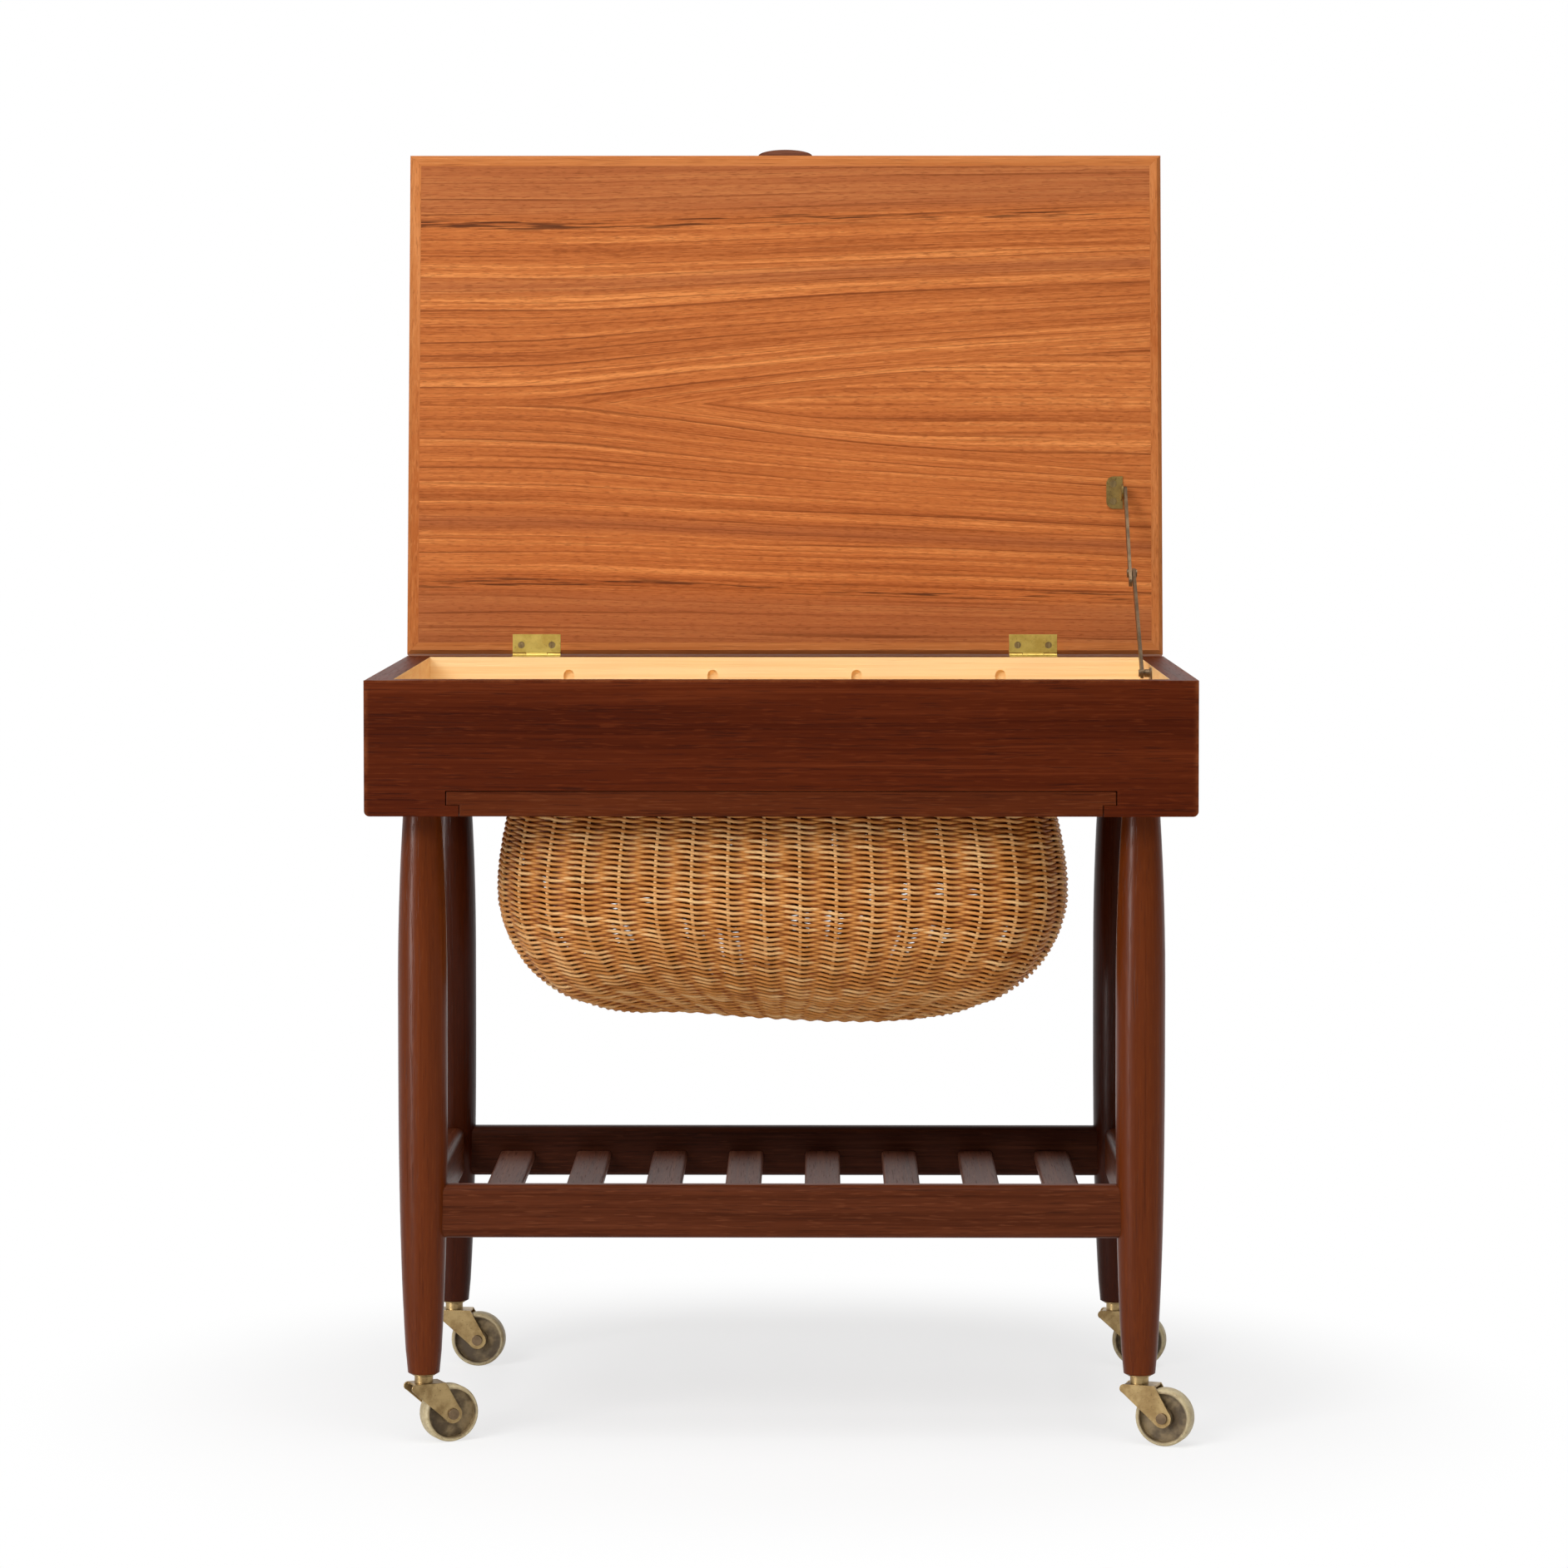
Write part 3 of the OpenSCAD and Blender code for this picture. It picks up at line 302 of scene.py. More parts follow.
def lidFinish(name):
    look = lidLook
    material, bench, shader = newFinish(name, {"IOR": 1.45, "Specular IOR Level": 0.05})
    axes = bench.split(bench.add("ShaderNodeTexCoord", out="Object"))
    x, z = axes[::2]
    wander = bench.cloud(axes, look["wanderMarks"], 2.0) - 0.5
    ripple = bench.cloud(axes, look["rippleMarks"], 2.0) - 0.5
    off = abs(z - look["axisHeight"]) + wander * look["wander"] + ripple * look["ripple"]
    past = x - look["firstFork"]
    past = (past + (past * past + look["forkRound"] ** 2).root()) * 0.5
    line = off - past * look["opening"] * (off * (-1 / look["calming"])).exp()
    core = off * look["heartSlope"] - look["heart"]  # the lines run along the axis again inside the figure
    line = (line + core + ((line - core) * (line - core) + look["heartRound"] ** 2).root()) * 0.5
    side = (z > look["axisHeight"]) * look["sideShift"]

    def marks(kind, detail=2.0, rough=0.6):
        long, across, layer = look[kind]
        return bench.noise(x * long, line * across, side + layer, detail, rough)

    def rings(kind):
        pitch, width, layer = look[kind]
        return ringLines(bench, x, line, pitch, side + layer, width)

    bands = marks("bands", 3.0)
    lines = marks("lines", 3.0, 0.7)
    dashes = marks("dashes")
    pores = marks("pores", 1.0, 0.5).ease(*look["poreFrom"])
    wide, rise = rings("wideRings")
    fine = rings("fineRings")[0]
    tone = (bands - 0.5) * look["bandWeight"] + (lines - 0.5) * look["lineWeight"]
    tone = tone + (dashes - 0.5) * look["dashWeight"] - (rise - 0.5) * look["ringWeight"]
    colour = bench.blend(tone.ease(*look["toBody"]), paint(*look["deep"]), paint(*look["body"]))
    colour = bench.blend(tone.ease(*look["toBright"]), colour, paint(*look["bright"]))
    margin = line.ease(*look["margin"])
    colour = bench.blend(margin * look["marginShare"], colour, paint(*look["dull"]))
    band = 1 - abs(line - look["darkBand"]).ease(0.0, look["darkFade"])
    colour = bench.blend(band * look["darkShare"], colour, paint(*look["dull"]))
    colour = bench.blend(fine * look["fineShare"], colour, paint(*look["grain"]))
    colour = bench.blend(wide * look["wideShare"], colour, paint(*look["grain"]))
    near = 1 - abs(line - look["streak"]).ease(*look["streakFade"])
    broken = marks("broken").ease(*look["brokenFrom"])
    strokes = marks("strokes").ease(*look["strokeFrom"])
    colour = bench.blend(strokes * near * broken * look["streakShare"], colour, paint(*look["streakTone"]))
    colour = bench.blend(pores * look["poreShare"], colour, paint(*look["grain"]))
    rough = lines * look["lineRough"] + pores * look["poreRough"] + look["roughness"]
    bench.join(shader.inputs["Base Color"], colour)
    bench.join(shader.inputs["Roughness"], rough)
    bumped(bench, shader, lines * look["lineBump"] - pores - wide * look["ringBump"], look)
    return material


darkTones = {"deep": (64, 19, 3), "body": (82, 29, 6), "bright": (104, 44, 16), "pore": (42, 12, 2)}
legTones = {"deep": (80, 32, 6), "body": (101, 43, 10), "bright": (120, 58, 21), "pore": (62, 22, 4)}
# painted shade: a darker copy of the leg tones for the back legs, which stand in the shade of the box
shadedBackLegTones = {"deep": (50, 17, 3), "body": (66, 24, 6), "bright": (82, 34, 12), "pore": (38, 12, 2)}
shelfTones = {"deep": (72, 31, 12), "body": (92, 44, 22), "bright": (116, 63, 37), "pore": (54, 23, 9)}
# painted shade: a darker copy of the shelf tones for the back rail, which lies in shade
shadedBackRailTones = {"deep": (44, 18, 8), "body": (60, 27, 14), "bright": (80, 41, 24), "pore": (34, 14, 6)}
slatTones = {"deep": (84, 46, 32), "body": (106, 63, 46), "bright": (130, 86, 66), "pore": (62, 34, 24)}
frameTones = {"deep": (70, 26, 7), "body": (90, 38, 13), "bright": (110, 56, 28), "pore": (46, 15, 4)}
stripTones = {"deep": (172, 96, 48), "body": (188, 114, 62), "bright": (204, 132, 78), "pore": (140, 76, 40)}

boxX = woodFinish("box_teak_long", "x", **darkTones, inside=birchLining, worn=rubbedEdges)
boxY = woodFinish("box_teak_side", "y", **darkTones, inside=birchLining, worn=rubbedEdges)
frameX = woodFinish("frame_teak_long", "x", **frameTones)
frameY = woodFinish("frame_teak_side", "y", **frameTones)
legWood = woodFinish("leg_teak", "z", **legTones, contrast=0.6, gloss=0.30, sheen=0.12)
# painted shade: the back legs take the darker copy of the leg teak
shadedBackLegWood = woodFinish("back_leg_teak_shaded", "z", **shadedBackLegTones, contrast=0.6, gloss=0.30, sheen=0.12)
railX = woodFinish("rail_teak_long", "x", **shelfTones)
# painted shade: the back rail takes the darker copy of the shelf teak
shadedBackRailX = woodFinish("back_rail_teak_shaded", "x", **shadedBackRailTones)
railY = woodFinish("rail_teak_side", "y", **shelfTones)
slatWood = woodFinish("slat_teak", "y", **slatTones)
stripX = woodFinish("strip_teak_long", "x", **stripTones, sheen=0.02)
stripZ = woodFinish("strip_teak_side", "z", **stripTones, sheen=0.02)
pullWood = woodFinish("pull_teak", "x", **slatTones)
birchX = woodFinish("birch_long", "x", **birchTones, contrast=0.8, gloss=0.5)
birchY = woodFinish("birch_side", "y", **birchTones, contrast=0.8, gloss=0.5)
lidWood = lidFinish("lid_teak_figured")
print("woods made")


# metal and plastic

metalLook = {
    "clouds": (90.0, 90.0, 90.0), "specks": (600.0, 600.0, 600.0), "brush": (160.0, 900.0, 1500.0),
    "dullFrom": (0.35, 0.68), "darkFrom": (0.58, 0.74),
    "cloudRough": 0.22, "speckRough": 0.12, "brushRough": 0.08, "roughShift": -0.2,
    "brushBump": 0.5, "bumpStrength": 0.15, "bumpDepth": 0.0001,
}
metalTones = {  # clean, dull, dark, roughness, patina, metallic
    "brass_hinge": ((218, 192, 100), (190, 160, 74), (116, 88, 40), 0.36, 0.45, 0.6),
    "brass_screw": ((150, 128, 84), (124, 102, 66), (70, 54, 36), 0.4, 0.5, 0.7),
    "brass_bracket": ((158, 132, 74), (118, 94, 50), (66, 50, 30), 0.4, 0.8, 0.7),
    "brass_stay": ((128, 106, 80), (98, 80, 60), (58, 44, 32), 0.4, 0.6, 0.8),
    "brass_caster": ((176, 150, 104), (140, 114, 74), (80, 60, 38), 0.36, 0.6, 0.85),
}


def metalFinish(name):
    look = metalLook
    clean, dull, dark, rough, patina, metallic = metalTones[name]
    material, bench, shader = newFinish(name, {"Metallic": metallic})
    axes = bench.split(bench.add("ShaderNodeTexCoord", out="Object"))
    cloud = bench.cloud(axes, look["clouds"], 4.0, 0.6)
    speck = bench.cloud(axes, look["specks"], 3.0, 0.6)
    brush = bench.cloud(axes, look["brush"], 2.0)
    colour = bench.blend(cloud.ease(*look["dullFrom"]), paint(*clean), paint(*dull))
    colour = bench.blend(speck.ease(*look["darkFrom"]) * patina, colour, paint(*dark))
    uneven = cloud * look["cloudRough"] + speck * look["speckRough"] + brush * look["brushRough"]
    bench.join(shader.inputs["Base Color"], colour)
    bench.join(shader.inputs["Roughness"], uneven + (rough + look["roughShift"]))
    bumped(bench, shader, brush * look["brushBump"] + speck, look)
    return material


brass = metalFinish("brass_hinge")
screwBrass = metalFinish("brass_screw")
bracketBrass = metalFinish("brass_bracket")
dullBrass = metalFinish("brass_stay")
casterBrass = metalFinish("brass_caster")


wheelLook = {
    "clouds": (140.0, 140.0, 140.0), "scuffs": (500.0, 500.0, 500.0), "blotches": 70.0, "blotchShift": 4.0,
    "rimTones": ((186, 166, 126), (212, 196, 156)), "rimFrom": (0.3, 0.7),
    # the sunk web is darker than the rim, in blotches
    "webTones": ((80, 62, 40), (148, 126, 90)), "webFrom": (0.40, 0.66), "webShare": 0.95,
    "scuffTone": (112, 92, 66), "scuffFrom": (0.55, 0.72), "scuffShare": 0.4,
    "webIn": 0.0072, "webOut": 0.0181,  # radii of the sunk web, metres
    "cloudRough": 0.2, "roughness": 0.42, "bumpStrength": 0.2, "bumpDepth": 0.0002,
}


def wheelFinish(name):
    look = wheelLook
    material, bench, shader = newFinish(name, {"IOR": 1.5, "Specular IOR Level": 0.35})
    x, y, z = axes = bench.split(bench.add("ShaderNodeTexCoord", out="Object"))
    web = bench.add("ShaderNodeAttribute", {"attribute_name": "web"}, out="Fac")
    cloud = bench.cloud(axes, look["clouds"], 4.0, 0.65)
    scuff = bench.cloud(axes, look["scuffs"], 3.0, 0.6)
    scale = look["blotches"]
    blotches = bench.noise(x * scale, y * scale, z * scale + look["blotchShift"], 3.0, 0.6)
    rim = bench.blend(cloud.ease(*look["rimFrom"]), *[paint(*tone) for tone in look["rimTones"]])
    inner = bench.blend(blotches.ease(*look["webFrom"]), *[paint(*tone) for tone in look["webTones"]])
    colour = bench.blend(web * look["webShare"], rim, inner)
    worn = scuff.ease(*look["scuffFrom"]) * look["scuffShare"]
    colour = bench.blend(worn, colour, paint(*look["scuffTone"]))
    bench.join(shader.inputs["Base Color"], colour)
    bench.join(shader.inputs["Roughness"], cloud * look["cloudRough"] + look["roughness"])
    bumped(bench, shader, scuff + cloud, look)
    return material


wheelPlastic = wheelFinish("wheel_plastic")


caneLook = {
    "patches": (16.0, 16.0, 22.0), "mottle": (120.0, 120.0, 160.0), "fibres": (300.0, 300.0, 2400.0),
    "toneWeight": 0.85, "patchWeight": 0.15, "mottleWeight": 0.4, "shift": -0.15,
    "dark": (136, 68, 14), "body": (216, 146, 74), "bright": (250, 202, 138),
    "toBody": (0.05, 0.48), "toBright": (0.42, 0.85),
    "fibre": (146, 84, 36), "fibreFrom": (0.52, 0.72), "fibreShare": 0.35,
    "under": (130, 66, 14), "underShadeFrom": (-0.85, 0.1), "underShare": 0.3,  # painted shade: faces that point down are darkened
    "mottleRough": 0.2, "roughness": 0.4, "bumpStrength": 0.3, "bumpDepth": 0.0002,
}


def caneFinish(name):
    look = caneLook
    material, bench, shader = newFinish(name, {"IOR": 1.45, "Specular IOR Level": 0.2})
    axes = bench.split(bench.add("ShaderNodeTexCoord", out="Object"))
    tone = bench.add("ShaderNodeAttribute", {"attribute_name": "tone"}, out="Fac")
    up = bench.split(bench.add("ShaderNodeNewGeometry", out="Normal"))[2]
    patch = bench.cloud(axes, look["patches"], 3.0, 0.6)
    mottle = bench.cloud(axes, look["mottle"], 3.0, 0.6)
    fibre = bench.cloud(axes, look["fibres"], 2.0, 0.6)
    mood = tone * look["toneWeight"] + patch * look["patchWeight"]
    mood = mood + mottle * look["mottleWeight"] + look["shift"]
    # painted shade: the more a face points down, the darker it is painted
    under = (1 - up.ease(*look["underShadeFrom"])) * look["underShare"]
    colour = bench.blend(mood.ease(*look["toBody"]), paint(*look["dark"]), paint(*look["body"]))
    colour = bench.blend(mood.ease(*look["toBright"]), colour, paint(*look["bright"]))
    colour = bench.blend(fibre.ease(*look["fibreFrom"]) * look["fibreShare"], colour, paint(*look["fibre"]))
    colour = bench.blend(under, colour, paint(*look["under"]))
    bench.join(shader.inputs["Base Color"], colour)
    bench.join(shader.inputs["Roughness"], mottle * look["mottleRough"] + look["roughness"])
    bumped(bench, shader, fibre, look)
    return material


cane = caneFinish("cane_strand")
print("metals, plastic and cane made")


# CAD pieces with eased edges

edgeLook = {"segments": 2, "merge": 2e-6, "flat": 0.5, "bevelFrom": 40, "sharpFrom": 35}  # metres and degrees


def mergedMesh(nodeName, flatten):
    shell = bmesh.new()
    shell.from_mesh(nodes[nodeName].data)
    bmesh.ops.remove_doubles(shell, verts=shell.verts, dist=edgeLook["merge"])
    if flatten:
        angle = math.radians(edgeLook["flat"])
        bmesh.ops.dissolve_limit(shell, angle_limit=angle, verts=shell.verts, edges=shell.edges)
    mesh = bpy.data.meshes.new(nodeName + "_eased")
    shell.to_mesh(mesh)
    shell.free()
    if "custom_normal" in mesh.attributes:
        mesh.attributes.remove(mesh.attributes["custom_normal"])
    return mesh


def easedPiece(nodeName, finish, edge=0.0, flatten=True):
    mesh = mergedMesh(nodeName, flatten)
    mesh.materials.clear()
    mesh.materials.append(finish)
    mesh.shade_smooth()
    piece = bpy.data.objects.new(nodeName + "_eased", mesh)
    scene.collection.objects.link(piece)
    if edge:
        bevel = piece.modifiers.new("eased edges", "BEVEL")
        bevel.width, bevel.segments = edge, edgeLook["segments"]
        bevel.limit_method, bevel.angle_limit = "ANGLE", math.radians(edgeLook["bevelFrom"])
        bevel.harden_normals = True
        bevel.use_clamp_overlap = True
    else:
        mesh.set_sharp_from_angle(angle=math.radians(edgeLook["sharpFrom"]))
    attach(piece, nodes[nodeName]["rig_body"])
    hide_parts(nodeName)
    return piece


easing = {  # node: finish, slot, edge in metres
    "front_panel": (boxX, "teak", 0.0007), "back_panel": (boxX, "teak", 0.0007),
    "left_panel": (boxY, "teak", 0.0007), "right_panel": (boxY, "teak", 0.0007),
    "bottom_board": (birchX, "birch", 0.0004), "dividers": (birchY, "birch", 0.0008),
    "left_bearer": (frameY, "teak", 0.0005), "right_bearer": (frameY, "teak", 0.0005),
    "lid_panel": (lidWood, "lid_teak", 0.0001), "lid_pull": (pullWood, "lid_teak", 0.0012),
    "lid_front_lipping": (stripX, "lid_teak", 0.0002), "lid_back_lipping": (stripX, "lid_teak", 0.0002),
    "lid_left_lipping": (stripZ, "lid_teak", 0.0002), "lid_right_lipping": (stripZ, "lid_teak", 0.0002),
    "basket_front_rail": (frameX, "teak", 0.0009), "basket_back_rail": (frameX, "teak", 0.0009),
    "basket_left_runner": (frameY, "teak", 0.0006), "basket_right_runner": (frameY, "teak", 0.0006),
    "shelf_front_rail": (railX, "teak", 0.0), "shelf_back_rail": (shadedBackRailX, "teak", 0.0),
    "shelf_left_rail": (railY, "teak", 0.0), "shelf_right_rail": (railY, "teak", 0.0),
    "hinge_box_leaves": (brass, "brass", 0.00015), "hinge_lid_leaves": (brass, "brass", 0.00015),
    "hinge_pins": (brass, "brass", 0.0), "box_screws": (screwBrass, "brass", 0.0001),
    "lid_screws": (screwBrass, "brass", 0.0001),
    "stay_box_bracket": (dullBrass, "brass", 0.0002), "stay_lid_bracket": (bracketBrass, "brass", 0.0002),
    "stay_upper_arm": (dullBrass, "brass", 0.0003), "stay_lower_arm": (dullBrass, "brass", 0.0003),
    "stay_elbow_rivet": (dullBrass, "brass", 0.0),
    "caster_sockets": (casterBrass, "aged_brass", 0.0002),
}
lipDrop = {"depth": 0.0009, "below": 0.5592, "behind": 0.215}  # the lid's low edge hides the slit at the box
slatCount = 8
for nodeName, (finish, slotName, edge) in easing.items():
    piece = easedPiece(nodeName, finish, edge)
    if nodeName.endswith("lipping"):
        for corner in piece.data.vertices:
            if corner.co.z < lipDrop["below"] and corner.co.y > lipDrop["behind"]:
                corner.co.z -= lipDrop["depth"]
for number in range(1, slatCount + 1):
    easedPiece(f"slat_{number}", slatWood)
corners = [f"{depth}_{side}" for depth in ("front", "back") for side in ("left", "right")]
for corner in corners:
    easedPiece("leg_" + corner, shadedBackLegWood if "back" in corner else legWood, flatten=False)
    easedPiece(f"caster_{corner}_fork", casterBrass, 0.0005)
    easedPiece(f"caster_{corner}_axle", dullBrass, 0.0003)
    wheel = easedPiece(f"caster_{corner}_wheel", wheelPlastic, flatten=False)
    low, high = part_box(f"caster_{corner}_wheel")
    middle = np.array((low + high) / 2)
    points = np.array([v.co for v in wheel.data.vertices]) - middle
    flat = points[:, :2]
    run = np.linalg.svd(flat - flat.mean(0), full_matrices=False)[2][0]  # the wheel's long way on the floor
    reach = np.hypot(flat @ run, points[:, 2])
    web = wheel.data.attributes.new("web", "FLOAT", "POINT")
    sunk = (reach < wheelLook["webOut"]) & (reach > wheelLook["webIn"])
    web.data.foreach_set("value", sunk.astype(np.float32))
print("eased pieces made")


# the woven basket

basketLow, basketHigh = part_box("basket")
basketShape = {  # metres; the reach is how far a height stands out past the core of the plan
    "border": 0.066, "neck": 0.0545, "swell": 0.0087, "belly": 0.41,
    "frameZ": 0.4665, "topZ": 0.460, "wallEndZ": 0.314,
    "bowlRun": 0.055,       # distance over which the bottom sinks
    "twinedRun": 0.042,     # the twined rows go this far in under the bottom
    "cornerEase": 0.030,    # keeps the corners round where the reach is small
    "inset": 0.0033,        # from the outside of the basket to the line of the stakes
    "closing": 0.75,        # how bluntly the wall turns in to the bottom
    "wallSteps": 160, "bottomSteps": 40, "bottomFrom": 0.001, "lineSteps": 120, "smoothings": 6,
}
weaveLook = {
    "stakes": 52, "stepsPerStake": 8, "rowPitch": 0.00395,
    "strandRadius": 0.00131, "stakeRadius": 0.00138, "sides": 6,
    "inAndOut": 0.0024, "upAndDown": 0.00102, "slant": 0.0003, "unevenness": 0.00028, "seed": 7,
    "lag": 0.15,             # how slowly a strand changes sides at a stake
    "tightness": 1.2,        # how short its bump over a stake is
    "stakeForward": 0.0008,  # how far the stakes stand out past the middle of the weave
    "widenFrom": 0.55,       # share of the way down from which the rows lie wider apart
    "widening": 0.7,
    "calmBottom": 0.5,       # how much flatter the weave is under the bottom
    "calmFrom": (0.5, 0.75),
    "sinking": 2.6, "sinkFrom": (0.48, 0.7),  # the stakes sink into the weave under the bottom
    "drift": (26.0, 1.7), "sway": (60.0, 9.0), "swayApart": 3.1,  # marks per metre and row, step per strand
    "driftBulge": 0.5, "driftShare": 1.6,
    "toneRun": 0.45, "toneApart": 5.3, "toneRange": 1.3, "toneShift": -0.18,  # the tone along a strand
    "hiddenShade": 0.8, "shownFrom": (-0.9, 0.4),  # a strand is darker behind a stake
    "stakeSteps": 60, "stakeTone": (0.9, 1.2),
}
borderLook = {
    "reach": 0.0565, "topZ": 0.4705, "bottomZ": 0.4685, "strands": 3, "steps": 8, "radius": 0.0027,
    "inAndOut": 0.0042, "upAndDown": 0.0034, "unevenness": 0.0002, "lag": 0.5,
}
matLook = {
    "sticks": 7, "stickPoints": 24, "stickRadius": 0.0013, "stickTone": 0.6, "weavers": 54, "steps": 6,
    "inAndOut": 0.0018, "upAndDown": 0.00098, "lift": 0.0016, "overlap": 0.003, "turnSpread": 0.25,
}
basketSize = {
    "coreX": (basketHigh.x - basketLow.x) / 2 - basketShape["border"],
    "coreY": (basketHigh.y - basketLow.y) / 2 - basketShape["border"],
    "middleY": (basketHigh.y + basketLow.y) / 2,
    "bottomZ": basketLow.z,
}


def basketProfile():  # reach and height of the line of the stakes, from the frame in under the bottom
    s, bottom = basketShape, basketSize["bottomZ"]
    fall = np.sin(np.linspace(0, math.pi / 2, s["wallSteps"]))
    swelling = s["neck"] + s["swell"] * np.sin(math.pi / 2 * fall / s["belly"])
    closing = np.clip(1 - ((fall - s["belly"]) / (1 - s["belly"])) ** 2, 0, 1) ** s["closing"]
    reach = np.where(fall < s["belly"], swelling, (s["neck"] + s["swell"]) * closing)
    wall = np.stack([reach, s["topZ"] + (s["wallEndZ"] - s["topZ"]) * fall], axis=1)
    inward = np.linspace(s["bottomFrom"], s["twinedRun"], s["bottomSteps"])
    sunk = bottom + (s["wallEndZ"] - bottom) * (1 - inward / s["bowlRun"]) ** 2
    line = np.concatenate([[(s["neck"], s["frameZ"])], wall, np.stack([-inward, sunk], axis=1)])
    length = np.concatenate([[0], np.cumsum(np.linalg.norm(np.diff(line, axis=0), axis=1))])
    even = np.linspace(0, length[-1], s["lineSteps"])
    line = np.stack([np.interp(even, length, line[:, i]) for i in (0, 1)], axis=1)
    for turn in range(s["smoothings"]):  # rounds the shoulder where the wall meets the bottom
        line[1:-1] = (line[:-2] + 2 * line[1:-1] + line[2:]) / 4
    way = np.gradient(line, axis=0)
    way /= np.linalg.norm(way, axis=1)[:, None]
    return line + s["inset"] * np.stack([way[:, 1], -way[:, 0]], axis=1)


def geometryTree(name, inputs):
    tree = bpy.data.node_groups.new(name, "GeometryNodeTree")
    tree.interface.new_socket("Geometry", in_out="INPUT", socket_type="NodeSocketGeometry")
    tree.interface.new_socket("Geometry", in_out="OUTPUT", socket_type="NodeSocketGeometry")
    for label, kind in inputs.items():
        tree.interface.new_socket(label, in_out="INPUT", socket_type="NodeSocket" + kind)
    bench = Bench(tree)
    labels = ["Geometry", *inputs]
    wires = dict(zip(labels, bench.add("NodeGroupInput", out=labels)))
    return tree, bench, wires


def closeTree(bench, geometry, material):
    geometry = bench.add("GeometryNodeRealizeInstances", None, {"Geometry": geometry})
    geometry = bench.add("GeometryNodeSetShadeSmooth", None, {"Geometry": geometry})
    geometry = bench.add("GeometryNodeSetMaterial", None, {"Geometry": geometry, "Material": material})
    outlet = bench.tree.nodes.new("NodeGroupOutput")
    bench.join(outlet.inputs["Geometry"], geometry)


def planPoint(bench, given, share, reach):  # a point of the rounded plan at that reach, and the way out
    quarterTurn = math.pi / 2
    bendRadius = (reach + (reach * reach + given["Corner Ease"] * given["Corner Ease"]).root()) * 0.5
    sideX = given["Core Width"] * 0.5 + reach - bendRadius
    sideY = given["Core Depth"] * 0.5 + reach - bendRadius
    quarter = sideX + sideY + bendRadius * quarterTurn
    way = (share % 1.0) * quarter * 4.0
    run = quarter - abs(quarter - way % (quarter * 2.0))
    bend = ((run - sideY) / bendRadius).least(0.0).most(quarterTurn)
    past = (run - sideY - bendRadius * quarterTurn).least(0.0)
    right = 1 - (way > quarter) * (way < quarter * 3.0) * 2.0
    back = 1 - (way > quarter * 2.0) * 2.0
    px = (sideX + bendRadius * bend.cos() - past) * right
    py = (run.most(sideY) + bendRadius * bend.sin()) * back
    return px, py, bend.cos() * right, bend.sin() * back


def strandTube(bench, given, curves, tone):
    ring = bench.add(
        "GeometryNodeCurvePrimitiveCircle", {"mode": "RADIUS"},
        {"Resolution": given["Sides"], "Radius": given["Radius"]},
    )
    curves = bench.add(
        "GeometryNodeStoreNamedAttribute", {"data_type": "FLOAT", "domain": "POINT"},
        {"Geometry": curves, "Name": "tone", "Value": tone},
    )
    return bench.add(
        "GeometryNodeCurveToMesh", None, {"Curve": curves, "Profile Curve": ring, "Fill Caps": True},
    )


def chance(bench, low, high, number, seed):
    return bench.add(
        "FunctionNodeRandomValue", {"data_type": "FLOAT"}, {2: low, 3: high, "ID": number, "Seed": seed}, 1,
    )


def straightStrands(bench, count, points):  # unit lines that the trees below bend into place
    line = bench.add(
        "GeometryNodeCurvePrimitiveLine", {"mode": "POINTS"}, {"Start": (0, 0, 0), "End": (0, 0, 1)},
    )
    line = bench.add("GeometryNodeResampleCurve", {"mode": "COUNT"}, {"Curve": line, "Count": points})
    starts = bench.add("GeometryNodePoints", None, {"Count": count})
    lines = bench.add("GeometryNodeInstanceOnPoints", None, {"Points": starts, "Instance": line})
    lines = bench.add("GeometryNodeRealizeInstances", None, {"Geometry": lines})
    number, step = bench.add("GeometryNodeCurveOfPoint", out=("Curve Index", "Index in Curve"))
    return lines, number, step


